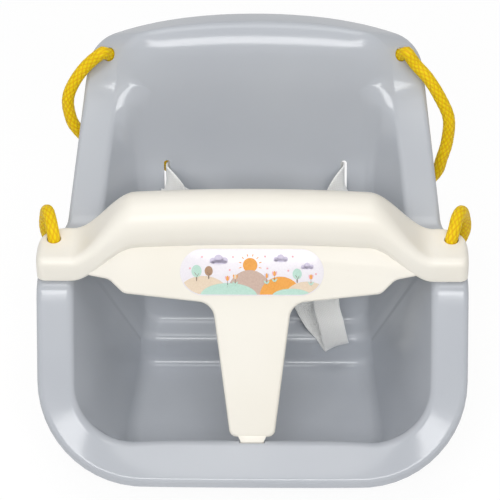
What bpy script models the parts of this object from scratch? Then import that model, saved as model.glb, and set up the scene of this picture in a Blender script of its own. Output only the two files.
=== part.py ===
"""Toddler swing seat: a moulded bucket seat with a lift-up T-shaped safety bar, two ropes and a belt.

Everything is in metres. While it is modelled, y runs from the seat's front edge backwards, z runs up
from the floor and x runs to the right as the seat is seen from the front. The last step moves the
origin to the middle of the seat's footprint.
"""

from math import cos, pi, radians, sin, sqrt, tan

import bmesh
import bpy
from mathutils import Matrix, Vector

# General wall, the gap that touching pieces keep, and how far a cutter reaches past what it cuts
WALL = 0.003
REST_GAP = 0.0003
CUT_PAST = 0.001

# Seat shell, rim
SEAT_DEPTH = 0.349
RIM_HALF_WIDTH = 0.1965
RIM_WIDTH = 0.0325
RIM_INNER_HALF_WIDTH = RIM_HALF_WIDTH - RIM_WIDTH
FRONT_RIM_HEIGHT = 0.0495
FRONT_RIM_DEPTH = 0.038
FRONT_RIM_RISE = 0.0195
FRONT_RIM_BOW = 0.012
FRONT_CORNER_RADIUS = 0.105
FRONT_INNER_RADIUS = 0.050
ARMREST_HEIGHT = 0.190
ARMREST_START = 0.113
ARMREST_LENGTH = 0.055
ARMREST_BEND = 0.020
LIP_HEIGHT = 0.0085
OUTER_ROLL = 0.0055
INNER_ROLL = 0.009
ROLL_STEPS = 3

# Seat shell, wings and back
WING_SET_IN = 0.021
WING_HALF_WIDTH = RIM_HALF_WIDTH - WING_SET_IN
WING_INNER_HALF_WIDTH = WING_HALF_WIDTH - RIM_WIDTH
WING_BULGE = 0.001
WING_OUTER_BEND = 0.600
WING_INNER_BEND = 0.050
WING_BEND_SHARE = 0.74
WING_START = 0.196
WING_TAPER = 0.0195
WING_TOP_HALF_WIDTH = WING_HALF_WIDTH - WING_TAPER
WING_TOP_RIM_WIDTH = 0.034
WING_TOP_INNER_HALF_WIDTH = WING_TOP_HALF_WIDTH - WING_TOP_RIM_WIDTH
TOP_CORNER_SET_IN = 0.014
WING_TOP_DEPTH = SEAT_DEPTH - TOP_CORNER_SET_IN
WING_TOP_HEIGHT = 0.302
TOP_RIM_HEIGHT = 0.325
TOP_RIM_DEPTH = 0.027
TOP_RIM_RISE = 0.007
TOP_CORNER_RADIUS = 0.035
TOP_CROWN = 0.011
TOP_CHAMFER = 0.015
BACK_LEAN = radians(15)
BACK_SET_IN = 0.127
BACK_BOTTOM = SEAT_DEPTH - BACK_SET_IN
BACK_EDGE = 0.010
BACK_HALF_WIDTH = WING_TOP_INNER_HALF_WIDTH - BACK_EDGE
BACK_SHOULDER = 0.026

# Seat shell, pan and ledge
WALL_DRAFT = 0.042
PAN_HALF_WIDTH = RIM_INNER_HALF_WIDTH - WALL_DRAFT
PAN_TAPER = 0.010
PAN_REAR_HALF_WIDTH = PAN_HALF_WIDTH - PAN_TAPER
PAN_START = 0.060
PAN_CORNER_RADIUS = 0.045
LEDGE_FRONT = 0.016
LEDGE_START = BACK_BOTTOM - LEDGE_FRONT
LEDGE_HEIGHT = 0.036
LEDGE_END = BACK_BOTTOM + LEDGE_HEIGHT * tan(BACK_LEAN)
LEDGE_ROLL = 0.008
LEDGE_INSET = 0.004
WALL_FILLET = 0.020
PAN_EDGE = 0.024

# Rope and belt, and the holes and slots that they pass through
ROPE_DIAMETER = 0.012
ROPE_HOLE_DIAMETER = ROPE_DIAMETER + 0.0012
REAR_HOLE_SHARE = 0.42
BELT_WIDTH = 0.025
BELT_THICKNESS = 0.0016
BELT_SLOT_SET_IN = 0.027
BELT_SLOT_X = BACK_HALF_WIDTH - BELT_SLOT_SET_IN
BELT_SLOT_HEIGHT = 0.188
BELT_SLOT_LENGTH = BELT_WIDTH + 0.007
BELT_SLOT_WIDTH = BELT_THICKNESS + 0.0044
SLOT_LEAD = 0.0055
BELT_LEAD = 0.008
LEFT_TURN_LENGTH = 0.022
RIGHT_TURN_LENGTH = 0.028
SLOT_TURN_STEPS = 6

# Safety bar: its ends rest on the armrests, and its tube lies higher between them
BAR_HALF_LENGTH = RIM_HALF_WIDTH - 0.0005
BAR_END_LENGTH = 0.0315
BAR_RISE = 0.060
BAR_RISE_END = BAR_HALF_LENGTH - BAR_END_LENGTH
BAR_STRAIGHT = BAR_RISE_END - BAR_RISE
END_FRONT = ARMREST_START + 0.0005
END_DEPTH = 0.052
END_HEIGHT = 0.025
END_FRONT_RADIUS = 0.008
END_REAR_RADIUS = 0.026
END_TOP_RADIUS = 0.006
END_EDGE_RADIUS = 0.0078
END_CURL = 0.003
TUBE_FRONT = END_FRONT + 0.007
TUBE_DEPTH = 0.049
TUBE_HEIGHT = 0.0475
TUBE_LIFT = 0.026
TUBE_CROWN = 0.0035
TUBE_CURL = 0.018
TUBE_REAR_RADIUS = 0.003
CHANNEL_DEPTH = 0.006
BAR_RIB = 0.002
TUBE_RIBS = (-0.090, -0.060, 0.060, 0.090)
TUBE_RIB_LIFT = 0.006
BOSS_RADIUS = ROPE_HOLE_DIAMETER / 2 + 0.0034
FRONT_HOLE_X = BAR_HALF_LENGTH - 0.015
FRONT_HOLE_Y = END_FRONT + 0.0315

# Plate and leg of the safety bar, measured down the leg's slope from the crease under the tube
PLATE_DEPTH = 0.011
PLATE_TOP = -0.006
PLATE_TIP_SET_IN = 0.0145
PLATE_TIP_HALF_WIDTH = BAR_RISE_END - PLATE_TIP_SET_IN
PLATE_TIP_TOP = 0.020
PLATE_TIP_BOTTOM = 0.029
PLATE_TIP_LENGTH = 0.020
PLATE_NECK_HALF_WIDTH = PLATE_TIP_HALF_WIDTH - PLATE_TIP_LENGTH
PLATE_NECK_DOWN = 0.033
PLATE_NECK_RADIUS = 0.012
PLATE_SHOULDER = 0.013
PLATE_HALF_WIDTH = PLATE_NECK_HALF_WIDTH - PLATE_SHOULDER
PLATE_HEIGHT = 0.050
PLATE_CORNER_LIFT = 0.004
PLATE_CORNER_RADIUS = 0.010
PLATE_FILLET_DROP = 0.005
PLATE_FILLET_RADIUS = 0.016
LEG_TOP_HALF_WIDTH = 0.036
LEG_FOOT_HALF_WIDTH = 0.0205
LEG_FOOT_RADIUS = 0.007
LEG_FOOT_GAP = 0.0024
LEG_RIBS = 4
LEG_RIB_START = 0.075
LEG_RIB_END = 0.022
TONGUE_HALF_WIDTH = 0.013
TONGUE_TIP_HALF_WIDTH = 0.0108
TONGUE_THICKNESS = 0.005
TONGUE_Y = FRONT_RIM_DEPTH - 0.0018
TONGUE_REACH = 0.011
TONGUE_ROOT = 0.010
TONGUE_SET_BACK = 0.0005
TONGUE_CLEARANCE = 0.0008

# Label on the plate
LABEL_HALF_LENGTH = 0.065
LABEL_HALF_HEIGHT = 0.0215
LABEL_THICKNESS = 0.0004
LABEL_DOWN = PLATE_HEIGHT / 2 + 0.0005

# Ropes: coils on the floor behind the seat, knots and ties
COIL_X = 0.091
COIL_SET_IN = 0.014
COIL_Y = SEAT_DEPTH - COIL_SET_IN
COIL_RADIUS = 0.074
COIL_PITCH = ROPE_DIAMETER + 0.0008
COIL_TURNS = 2
COIL_LAYER = ROPE_DIAMETER + 0.0006
COIL_POINTS = 24
TIE_THICKNESS = 0.0012
TIE_WIDTH = 0.012
TIE_PLAY = 0.0014
TIE_CORNER = 0.0045
KNOT_RADIUS = ROPE_HOLE_DIAMETER / 2 + 0.0049
KNOT_HEIGHT = 2 * KNOT_RADIUS
CORE_DEPTH = 0.004
REAR_CORE_REACH = 0.0025

# Belt buckle: a socket, and a tongue whose prongs snap into it
BUCKLE_X = -0.008
BUCKLE_HEIGHT = 0.115
BUCKLE_SLOPE = radians(50)
BUCKLE_WIDTH = BELT_WIDTH + 0.009
BUCKLE_THICKNESS = 0.012
BUCKLE_WALL = 0.002
BUCKLE_STANDOFF = 0.0005
BUCKLE_BAR = 0.004
BUCKLE_SLOT = BELT_THICKNESS + 0.0019
BUCKLE_BELT_PLAY = 0.0008
SOCKET_LENGTH = 0.034
SOCKET_CORNER = 0.004
SOCKET_WEB = 0.003
WINDOW_NEAR = 0.006
WINDOW_FAR = 0.018
WINDOW_HEIGHT = 0.005
BASE_LENGTH = 0.019
BASE_THICKNESS = 0.010
BASE_CORNER = 0.003
BASE_BAR = 0.0025
BASE_SLOT_START = 0.006
PRONG_LENGTH = 0.020
PRONG_WIDTH = 0.006
PRONG_CORNER = 0.0015
PRONG_PLAY = 0.0004
KEEL_LENGTH = 0.016
KEEL_WIDTH = 0.004
KEEL_CORNER = 0.001


# Materials
def linear(channel):
    """Linear value of one sRGB channel of 0 to 255."""
    share = channel / 255
    return share / 12.92 if share <= 0.04045 else ((share + 0.055) / 1.055) ** 2.4


def make_material(name, colour, roughness):
    material = bpy.data.materials.new(name)
    material.use_nodes = True
    shader = material.node_tree.nodes["Principled BSDF"]
    shader.inputs["Base Color"].default_value = (*[linear(channel) for channel in colour], 1.0)
    shader.inputs["Roughness"].default_value = roughness
    shader.inputs["Metallic"].default_value = 0.0
    return material


# Curves and outlines
NEARLY_STRAIGHT = pi - 0.01


def corner_arc(before, corner, after, radius, steps):
    """Points of the arc that rounds one corner, from where it leaves one leg to where it meets the next."""
    back = (before - corner).normalized()
    ahead = (after - corner).normalized()
    angle = back.angle(ahead)
    if steps == 0 or radius <= 0 or angle > NEARLY_STRAIGHT:
        return [corner.copy() for _ in range(steps + 1)]
    reach = min(radius / tan(angle / 2), 0.9 * (before - corner).length, 0.9 * (after - corner).length)
    radius = reach * tan(angle / 2)
    middle = corner + (back + ahead).normalized() * (radius / sin(angle / 2))
    start = corner + back * reach - middle
    end = corner + ahead * reach - middle
    sweep = start.angle(end)
    return [
        middle + (start * sin(sweep * (1 - step / steps)) + end * sin(sweep * step / steps)) / sin(sweep)
        for step in range(steps + 1)
    ]


def bezier(start, control, end, steps):
    """Points after start on the curve that leaves it towards control and ends level with control."""
    shares = [step / steps for step in range(1, steps + 1)]
    return [start * (1 - t) ** 2 + control * (2 * t * (1 - t)) + end * t**2 for t in shares]


def straight(start, end, steps):
    """Points after start on the straight run to end."""
    return [start.lerp(end, step / steps) for step in range(1, steps + 1)]


def rounded_loop(corners, radii, steps):
    """A closed outline whose corners are rounded, one entry of radii and of steps for each corner."""
    points = []
    for index, corner in enumerate(corners):
        after = corners[(index + 1) % len(corners)]
        points += corner_arc(corners[index - 1], corner, after, radii[index], steps[index])
    return points


def smooth_curve(route, steps):
    """Points of a smooth curve through the route's own points, steps of them for each span."""
    first = route[0] * 2 - route[1]
    last = route[-1] * 2 - route[-2]
    knots = [first, *route, last]
    points = [route[0].copy()]
    for index in range(1, len(knots) - 2):
        a, b, c, d = knots[index - 1 : index + 3]
        leave = (c - a) / 2
        arrive = (d - b) / 2
        for step in range(1, steps + 1):
            t = step / steps
            points.append(
                b * (2 * t**3 - 3 * t**2 + 1)
                + leave * (t**3 - 2 * t**2 + t)
                + c * (3 * t**2 - 2 * t**3)
                + arrive * (t**3 - t**2)
            )
    return points


def cord_line(route, steps):
    """Points of a cord or strap: a smooth curve through its route, its first and last spans straight."""
    line = smooth_curve(route, steps)
    return [line[0], *line[steps:-steps], line[-1]]


def smooth_step(share):
    share = max(0.0, min(1.0, share))
    return share * share * (3 - 2 * share)


def between(start, end, share):
    return start + share * (end - start)


def inset_outline(corners, inset):
    """The corners of a closed outline in x and y, with every edge moved inwards by inset."""
    following = corners[1:] + corners[:1]
    area = sum(start.cross(end) for start, end in zip(corners, following))
    turn = 1 if area > 0 else -1
    edges = []
    for start, end in zip(corners, following):
        along = end - start
        shift = Vector((-along.y, along.x)).normalized() * inset * turn
        edges.append((start + shift, along))
    moved = []
    for (start, along), (next_start, next_along) in zip(edges[-1:] + edges[:-1], edges):
        share = (next_start - start).cross(next_along) / along.cross(next_along)
        moved.append(start + along * share)
    return moved


# Meshes and objects
def new_object(name, mesh, material=None):
    piece = bpy.data.objects.new(name, mesh)
    bpy.context.scene.collection.objects.link(piece)
    if material:
        mesh.materials.append(material)
    return piece


def mesh_of(name, bm, smooth_angle=radians(35)):
    bmesh.ops.recalc_face_normals(bm, faces=bm.faces)
    mesh = bpy.data.meshes.new(name)
    bm.to_mesh(mesh)
    bm.free()
    mesh.shade_smooth()
    mesh.set_sharp_from_angle(angle=smooth_angle)
    return mesh


def join_rings(bm, rows):
    """Faces between each ring of vertices and the next, all of as many vertices."""
    for row, following in zip(rows, rows[1:]):
        for index in range(len(row)):
            after = (index + 1) % len(row)
            bm.faces.new((row[index], row[after], following[after], following[index]))


def loft(bm, rings):
    """A closed solid through rings of as many points each, capped at both ends."""
    rows = [[bm.verts.new(point) for point in ring] for ring in rings]
    join_rings(bm, rows)
    bm.faces.new(rows[0])
    bm.faces.new(rows[-1])


def solid(name, bodies, material=None):
    """One object of one or more closed lofts, each given as its rings."""
    bm = bmesh.new()
    for rings in bodies:
        loft(bm, rings)
    return new_object(name, mesh_of(name, bm), material)


def box_rings(low, high):
    """Two square rings, the ends of a box from one corner to the opposite one."""
    outline = ((low.x, low.y), (high.x, low.y), (high.x, high.y), (low.x, high.y))
    return [[Vector((x, y, z)) for x, y in outline] for z in (low.z, high.z)]


def circle(centre, turn, radius, rise, sides):
    """Points of a circle about an axis turned from upright, rise along that axis from centre."""
    angles = [2 * pi * step / sides for step in range(sides)]
    return [centre + turn @ Vector((radius * cos(angle), radius * sin(angle), rise)) for angle in angles]


def disc_rings(centre, axis, radius, below, above, sides=20):
    """The two end rings of a cylinder about axis, from below centre to above it."""
    turn = axis.to_track_quat("Z", "Y")
    return [circle(centre, turn, radius, rise, sides) for rise in (-below, above)]


def apply_tool(piece, tool, operation):
    """Adds or cuts away the tool, which stays as a hidden guide."""
    tool.hide_render = True
    tool.display_type = "WIRE"
    change = piece.modifiers.new(tool.name, "BOOLEAN")
    change.operation = operation
    change.object = tool
    change.solver = "EXACT"


def tube(name, points, diameter, material, resolution):
    """A round cord along the points, as a bevelled poly curve with closed ends."""
    curve = bpy.data.curves.new(name, "CURVE")
    curve.dimensions = "3D"
    curve.bevel_depth = diameter / 2
    curve.bevel_resolution = resolution
    curve.use_fill_caps = True
    spline = curve.splines.new("POLY")
    spline.points.add(len(points) - 1)
    for knot, point in zip(spline.points, points):
        knot.co = (*point, 1.0)
    curve.materials.append(material)
    piece = bpy.data.objects.new(name, curve)
    bpy.context.scene.collection.objects.link(piece)
    return piece


def mirrored(points, side):
    """Points given for the right side, on the side that side's sign names."""
    return [Vector((point[0] * side, point[1], point[2])) for point in points]


# Seat shell: steps on each run and rounded corner of a half ring, and where its sheet turns a corner
RUN_STEPS = (6, 3, 2, 1, 3, 1, 6)
ARC_STEPS = (6, 2, 2, 2, 2, 6)
HALF_RING_STEPS = sum(RUN_STEPS) + sum(ARC_STEPS)
SHEET_CORNER = RUN_STEPS[0] + ARC_STEPS[0] // 2
SHEET_END = HALF_RING_STEPS - RUN_STEPS[-1] - ARC_STEPS[-1] // 2
REAR_HOLE_STATION = HALF_RING_STEPS - RUN_STEPS[-1] - ARC_STEPS[-1] + 1
GRID_BLEND_ROWS = 4


def back_line(height):
    """How far back the front face of the back panel lies at a height."""
    return BACK_BOTTOM + height * tan(BACK_LEAN)


def back_point(x, height, off):
    """The point off the back panel's front face, towards the child, at a height measured on the face."""
    return Vector((x, back_line(height) - off * cos(BACK_LEAN), height + off * sin(BACK_LEAN)))


def half_ring(front, corners, radii, back):
    """One half of a ring round the seat, from the middle of the front to the middle of the back.

    front and back are the ring's y and z in the middle, where it is level; the corners between them
    are rounded. The first and last runs are bowed so that they cross the middle level.
    """
    start = Vector((0, *front))
    end = Vector((0, *back))
    lead = Vector((corners[0].x / 2, *front))
    follow = Vector((corners[-1].x / 2, *back))
    bends = [lead, *corners, follow]
    arcs = [
        corner_arc(bends[index], bends[index + 1], bends[index + 2], radii[index], ARC_STEPS[index])
        for index in range(len(corners))
    ]
    points = [start] + bezier(start, lead, arcs[0][0], RUN_STEPS[0])[:-1]
    for index, arc in enumerate(arcs[:-1]):
        points += arc
        points += straight(arc[-1], arcs[index + 1][0], RUN_STEPS[index + 1])[:-1]
    return points + arcs[-1] + bezier(arcs[-1][-1], follow, end, RUN_STEPS[-1])


def slope_y(height):
    """How far back the sloping side rim lies at a height."""
    share = (height - FRONT_RIM_HEIGHT) / (ARMREST_HEIGHT - FRONT_RIM_HEIGHT)
    return FRONT_RIM_BOW + share * (ARMREST_START - FRONT_RIM_BOW)


ARMREST_END = ARMREST_START + ARMREST_LENGTH
TOP_INNER_DEPTH = SEAT_DEPTH - TOP_RIM_DEPTH
TOP_INNER_HEIGHT = TOP_RIM_HEIGHT + TOP_RIM_RISE
FRONT_INNER_HEIGHT = FRONT_RIM_HEIGHT + FRONT_RIM_RISE


def wing_point(half_width_start, half_width_end, share):
    """A point of a wing's rim, from where the wing starts to its top corner."""
    x = between(half_width_start, half_width_end, share)
    y = between(WING_START, WING_TOP_DEPTH, share)
    return Vector((x, y, between(ARMREST_HEIGHT, WING_TOP_HEIGHT, share)))


def outer_ring():
    """The corner where the rim turns down into its lip."""
    corners = [
        Vector((RIM_HALF_WIDTH, FRONT_RIM_BOW, FRONT_RIM_HEIGHT)),
        Vector((RIM_HALF_WIDTH, ARMREST_START, ARMREST_HEIGHT)),
        Vector((RIM_HALF_WIDTH, ARMREST_END, ARMREST_HEIGHT)),
        wing_point(WING_HALF_WIDTH, WING_TOP_HALF_WIDTH, 0),
        wing_point(WING_HALF_WIDTH + WING_BULGE, WING_TOP_HALF_WIDTH + WING_BULGE, WING_BEND_SHARE),
        wing_point(WING_HALF_WIDTH, WING_TOP_HALF_WIDTH, 1),
    ]
    bends = [ARMREST_BEND] * 3
    radii = [FRONT_CORNER_RADIUS, *bends, WING_OUTER_BEND, TOP_CORNER_RADIUS]
    return half_ring((0, FRONT_RIM_HEIGHT), corners, radii, (SEAT_DEPTH, TOP_RIM_HEIGHT))


def inner_ring():
    """The corner where the rim turns down into the seat."""
    upper_half_width = WING_TOP_INNER_HALF_WIDTH + 6 * WING_BULGE
    top_corner = (TOP_INNER_DEPTH - 0.006, TOP_INNER_HEIGHT - TOP_CROWN)
    corners = [
        Vector((RIM_INNER_HALF_WIDTH, slope_y(FRONT_INNER_HEIGHT) + 0.005, FRONT_INNER_HEIGHT)),
        Vector((RIM_INNER_HALF_WIDTH, ARMREST_START, ARMREST_HEIGHT)),
        Vector((RIM_INNER_HALF_WIDTH, ARMREST_END, ARMREST_HEIGHT)),
        wing_point(WING_INNER_HALF_WIDTH, WING_TOP_INNER_HALF_WIDTH, 0) + Vector((0, 0.003, 0)),
        wing_point(WING_INNER_HALF_WIDTH, upper_half_width, WING_BEND_SHARE),
        Vector((WING_TOP_INNER_HALF_WIDTH, *top_corner)),
    ]
    bends = [ARMREST_BEND] * 3
    radii = [FRONT_INNER_RADIUS, *bends, WING_INNER_BEND, TOP_CORNER_RADIUS]
    front = (FRONT_RIM_DEPTH, FRONT_INNER_HEIGHT)
    return half_ring(front, corners, radii, (TOP_INNER_DEPTH, TOP_INNER_HEIGHT))


def sheet_ring(edge):
    """The foot of the seat's walls, on the pan, the ledge and the back, moved inwards by edge."""
    top = TOP_INNER_HEIGHT - TOP_CHAMFER - edge * cos(BACK_LEAN)
    corner_height = top - TOP_CROWN / 2
    shoulder = corner_height - BACK_SHOULDER
    rear_half_width = PAN_REAR_HALF_WIDTH - edge
    corners = [
        Vector((PAN_HALF_WIDTH - edge, PAN_START + edge, WALL)),
        Vector((rear_half_width, LEDGE_START, WALL)),
        Vector((rear_half_width - LEDGE_INSET, LEDGE_START, LEDGE_HEIGHT)),
        Vector((rear_half_width - LEDGE_INSET, LEDGE_END, LEDGE_HEIGHT)),
        Vector((BACK_HALF_WIDTH - edge, back_line(shoulder), shoulder)),
        Vector((BACK_HALF_WIDTH - edge, back_line(corner_height), corner_height)),
    ]
    rolls = [LEDGE_ROLL] * 3
    radii = [PAN_CORNER_RADIUS, *rolls, WING_INNER_BEND, TOP_CORNER_RADIUS]
    return half_ring((PAN_START + edge, WALL), corners, radii, (back_line(top), top))


def section(lip, outer, inner, foot, sheet):
    """One cut through rim and wall, from the lip's lower edge to the pan or back."""
    rows = [lip]
    rows += corner_arc(lip, outer, inner, OUTER_ROLL, ROLL_STEPS)
    rows += corner_arc(outer, inner, foot, INNER_ROLL, ROLL_STEPS)
    rows += corner_arc(inner, foot, sheet, WALL_FILLET, ROLL_STEPS)
    return rows + [sheet]


def shell_surface():
    """The seat's inside surface as columns round the seat, and the grid that fills pan and back."""
    rings = [outer_ring(), inner_ring(), sheet_ring(0), sheet_ring(PAN_EDGE)]
    columns = []
    for outer, inner, foot, sheet in zip(*rings):
        lip = outer - Vector((0, 0, LIP_HEIGHT))
        columns.append(section(lip, outer, inner, foot, sheet))
    left = [mirrored(column, -1) for column in columns[1:-1]]
    return columns + left[::-1]


def fill_grid(bm, ring):
    """Fills the ring of vertices on pan and back, whose four sides meet in its rounded corners."""
    count = len(ring)
    front = [ring[index % count] for index in range(-SHEET_CORNER, SHEET_CORNER + 1)]
    right = [ring[index] for index in range(SHEET_CORNER, SHEET_END + 1)]
    back = [ring[index % count] for index in range(count - SHEET_END, SHEET_END - 1, -1)]
    left = [ring[index % count] for index in range(count - SHEET_CORNER, count - SHEET_END - 1, -1)]
    across, along = len(front) - 1, len(right) - 1
    grid = [front]
    for row in range(1, along):
        near_front = max(0.0, 1 - row / GRID_BLEND_ROWS) ** 2
        near_back = max(0.0, 1 - (along - row) / GRID_BLEND_ROWS) ** 2
        line = [left[row]]
        for column in range(1, across):
            share = column / across
            front_bow = front[column].co - front[0].co.lerp(front[-1].co, share)
            back_bow = back[column].co - back[0].co.lerp(back[-1].co, share)
            level = left[row].co.lerp(right[row].co, share)
            line.append(bm.verts.new(level + front_bow * near_front + back_bow * near_back))
        grid.append(line + [right[row]])
    grid.append(back)
    for lower, upper in zip(grid, grid[1:]):
        for index in range(across):
            bm.faces.new((lower[index], lower[index + 1], upper[index + 1], upper[index]))


def rear_hole_frame():
    """Centre and outward direction of the rear rope hole in the right wing's rim."""
    outer = outer_ring()
    inner = inner_ring()
    station = REAR_HOLE_STATION
    across = outer[station] - inner[station]
    along = outer[station + 1] + inner[station + 1] - outer[station - 1] - inner[station - 1]
    normal = along.cross(across).normalized()
    if normal.z < 0:
        normal = -normal
    return inner[station] + across * REAR_HOLE_SHARE, normal


def build_shell(material):
    bm = bmesh.new()
    columns = [[bm.verts.new(point) for point in column] for column in shell_surface()]
    for index, column in enumerate(columns):
        following = columns[(index + 1) % len(columns)]
        for row in range(len(column) - 1):
            bm.faces.new((column[row], following[row], following[row + 1], column[row + 1]))
    fill_grid(bm, [column[-1] for column in columns])
    bmesh.ops.recalc_face_normals(bm, faces=bm.faces)
    mesh = bpy.data.meshes.new("seat_shell")
    bm.to_mesh(mesh)
    bm.free()
    mesh.shade_smooth()
    pan_middle = Vector((0, (PAN_START + LEDGE_START) / 2, WALL))
    middle = min(mesh.polygons, key=lambda face: (face.center - pan_middle).length)
    shell = new_object("seat_shell", mesh, material)
    thicken = shell.modifiers.new("wall", "SOLIDIFY")
    thicken.thickness = WALL
    thicken.offset = -1 if middle.normal.z > 0 else 1
    thicken.use_even_offset = True
    apply_tool(shell, solid("shell_holes", shell_cutters()), "DIFFERENCE")
    return shell


def shell_cutters():
    radius = ROPE_HOLE_DIAMETER / 2
    cutters = []
    rear_centre, rear_normal = rear_hole_frame()
    for side in (-1, 1):
        centre = Vector((side * FRONT_HOLE_X, FRONT_HOLE_Y, ARMREST_HEIGHT))
        cutters.append(disc_rings(centre, Vector((0, 0, 1)), radius, 2 * WALL, WALL))
        mirror = Vector((side, 1, 1))
        cutters.append(disc_rings(rear_centre * mirror, rear_normal * mirror, radius, 2 * WALL, WALL))
        cutters.append(belt_slot_rings(side * BELT_SLOT_X))
    reach = TONGUE_TIP_HALF_WIDTH + TONGUE_CLEARANCE
    half = TONGUE_THICKNESS / 2 + TONGUE_CLEARANCE
    low = Vector((-reach, TONGUE_Y - half, tongue_tip() - TONGUE_CLEARANCE))
    high = Vector((reach, TONGUE_Y + half, FRONT_INNER_HEIGHT + INNER_ROLL))
    return cutters + [box_rings(low, high)]


def pill(half_length, half_width, sides):
    """Points of an outline with round ends: how far along it and how far across it each lies."""
    run = half_length - half_width
    points = []
    for step in range(sides):
        angle = 2 * pi * (step + 0.5) / sides
        end = run if cos(angle) > 0 else -run
        points.append((half_width * cos(angle) + end, half_width * sin(angle)))
    return points


def belt_slot_rings(x):
    """A slot with round ends through the back panel, as its two end rings."""
    outline = [
        (x + across, BELT_SLOT_HEIGHT + along * cos(BACK_LEAN))
        for along, across in pill(BELT_SLOT_LENGTH / 2, BELT_SLOT_WIDTH / 2, 12)
    ]
    return [[back_point(*place, off) for place in outline] for off in (2 * WALL, -3 * WALL)]


# Safety bar
END_BOTTOM = ARMREST_HEIGHT + REST_GAP
TUBE_BOTTOM = END_BOTTOM + TUBE_LIFT + TUBE_CROWN
CREASE = Vector((0, TUBE_FRONT + 0.45 * TUBE_CURL, TUBE_BOTTOM + 0.0035))
FOOT = Vector((0, TONGUE_Y, FRONT_INNER_HEIGHT - 0.003))
LEG_SLOPE = (FOOT - CREASE).normalized()
LEG_NORMAL = Vector((0, LEG_SLOPE.z, -LEG_SLOPE.y))
LEG_LENGTH = (FOOT - CREASE).length - LEG_FOOT_GAP
LEG_RIB_PITCH = (LEG_LENGTH - LEG_RIB_START - LEG_RIB_END) / (LEG_RIBS - 1)


def tongue_tip():
    """Height of the tongue's lower end, which hooks through the front rim."""
    return FRONT_INNER_HEIGHT - INNER_ROLL / 2 - TONGUE_REACH


def rounding(distance, radius):
    """How far an edge draws in at a distance from the bar's end, for a round plan corner."""
    if distance >= radius:
        return 0.0
    return radius - sqrt(max(0.0, radius**2 - (radius - distance) ** 2))


def beam_section(x, inset):
    """The bar's cross section at x, drawn in by inset: front, rear, bottom, top and two corner radii."""
    share = smooth_step((abs(x) - BAR_STRAIGHT) / (BAR_RISE_END - BAR_STRAIGHT))
    distance = BAR_HALF_LENGTH - abs(x)
    crown = TUBE_CROWN * max(0.0, 1 - (x / BAR_STRAIGHT) ** 2)
    front = between(TUBE_FRONT, END_FRONT, share) + rounding(distance, END_FRONT_RADIUS)
    depth = between(TUBE_FRONT + TUBE_DEPTH, END_FRONT + END_DEPTH, share)
    rear = depth - rounding(distance, END_REAR_RADIUS)
    bottom = END_BOTTOM + between(TUBE_LIFT + crown, 0, share)
    top = bottom + between(TUBE_HEIGHT, END_HEIGHT, share) - rounding(distance, END_TOP_RADIUS)
    roll = between(0.99 * TUBE_DEPTH / 2, END_EDGE_RADIUS, share)
    curl = between(TUBE_CURL, END_CURL, share)
    return front + inset, rear - inset, bottom, top - inset, roll - inset, curl


def beam_ring(x):
    """One outer ring of the bar: round above, curled in under the front edge."""
    front, rear, bottom, top, roll, curl = beam_section(x, 0)
    roll = min(roll, 0.49 * (rear - front))
    corners = [(front, top), (rear, top), (rear, bottom), (front, bottom)]
    radii = [roll, roll, TUBE_REAR_RADIUS, curl]
    return rounded_loop([Vector((x, y, z)) for y, z in corners], radii, (4, 4, 1, 3))


def channel_ring(x):
    """One ring of the hollow inside the bar, open below."""
    front, rear, bottom, top, roll, curl = beam_section(x, WALL)
    roll = min(roll, 0.45 * (rear - front))
    mouth = front + curl
    corners = [
        (front, top),
        (rear, top),
        (rear, bottom - CHANNEL_DEPTH),
        (mouth, bottom - CHANNEL_DEPTH),
        (mouth, bottom + WALL),
        (front, bottom + WALL + 0.0005),
    ]
    radii = [roll, roll, 0, 0, 0, max(curl - WALL, 0.0005)]
    return rounded_loop([Vector((x, y, z)) for y, z in corners], radii, (3, 3, 0, 0, 0, 2))


def beam_stations(end, close):
    """Where the bar's rings lie along x: few on the straight, more on the rise and, if close, the ends."""
    half = [BAR_STRAIGHT * step / 3 for step in range(1, 3)]
    half += [between(BAR_STRAIGHT, BAR_RISE_END, step / 7) for step in range(8)]
    shares = [sin(pi / 2 * step / 7) for step in range(1, 8)] if close else [1 / 3, 2 / 3, 1]
    half += [between(BAR_RISE_END, end, share) for share in shares]
    return [-x for x in half[::-1]] + [0.0] + half


def plate_point(x, down, behind):
    """A point of the plate or leg: x across, down its slope, behind its front face."""
    return Vector((x, 0, 0)) + CREASE + LEG_SLOPE * down - LEG_NORMAL * behind


def plate_outline():
    """Corners and radii of the T-shaped plate, as x across and y down the slope."""
    half = [
        (BAR_STRAIGHT, PLATE_TOP, 0),
        (PLATE_TIP_HALF_WIDTH, PLATE_TIP_TOP, 0),
        (PLATE_TIP_HALF_WIDTH, PLATE_TIP_BOTTOM, 0),
        (PLATE_NECK_HALF_WIDTH, PLATE_NECK_DOWN, PLATE_NECK_RADIUS),
        (PLATE_HALF_WIDTH, PLATE_HEIGHT - PLATE_CORNER_LIFT, PLATE_CORNER_RADIUS),
        (LEG_TOP_HALF_WIDTH, PLATE_HEIGHT + PLATE_FILLET_DROP, PLATE_FILLET_RADIUS),
        (LEG_FOOT_HALF_WIDTH, LEG_LENGTH, LEG_FOOT_RADIUS),
    ]
    right = [(Vector((x, down)), radius) for x, down, radius in half]
    left = [(Vector((-corner.x, corner.y)), radius) for corner, radius in right[::-1]]
    return right + left


def plate_rings(inset, front, back):
    """The plate's two end rings, with its outline drawn in by inset."""
    outline = plate_outline()
    corners = [corner for corner, _ in outline]
    if inset:
        corners = inset_outline(corners, inset)
    steps = [4 if radius else 0 for _, radius in outline]
    radii = [radius for _, radius in outline]
    loop = rounded_loop([Vector((corner.x, corner.y, 0)) for corner in corners], radii, steps)
    return [[plate_point(point.x, point.y, behind) for point in loop] for behind in (front, back)]


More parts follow.
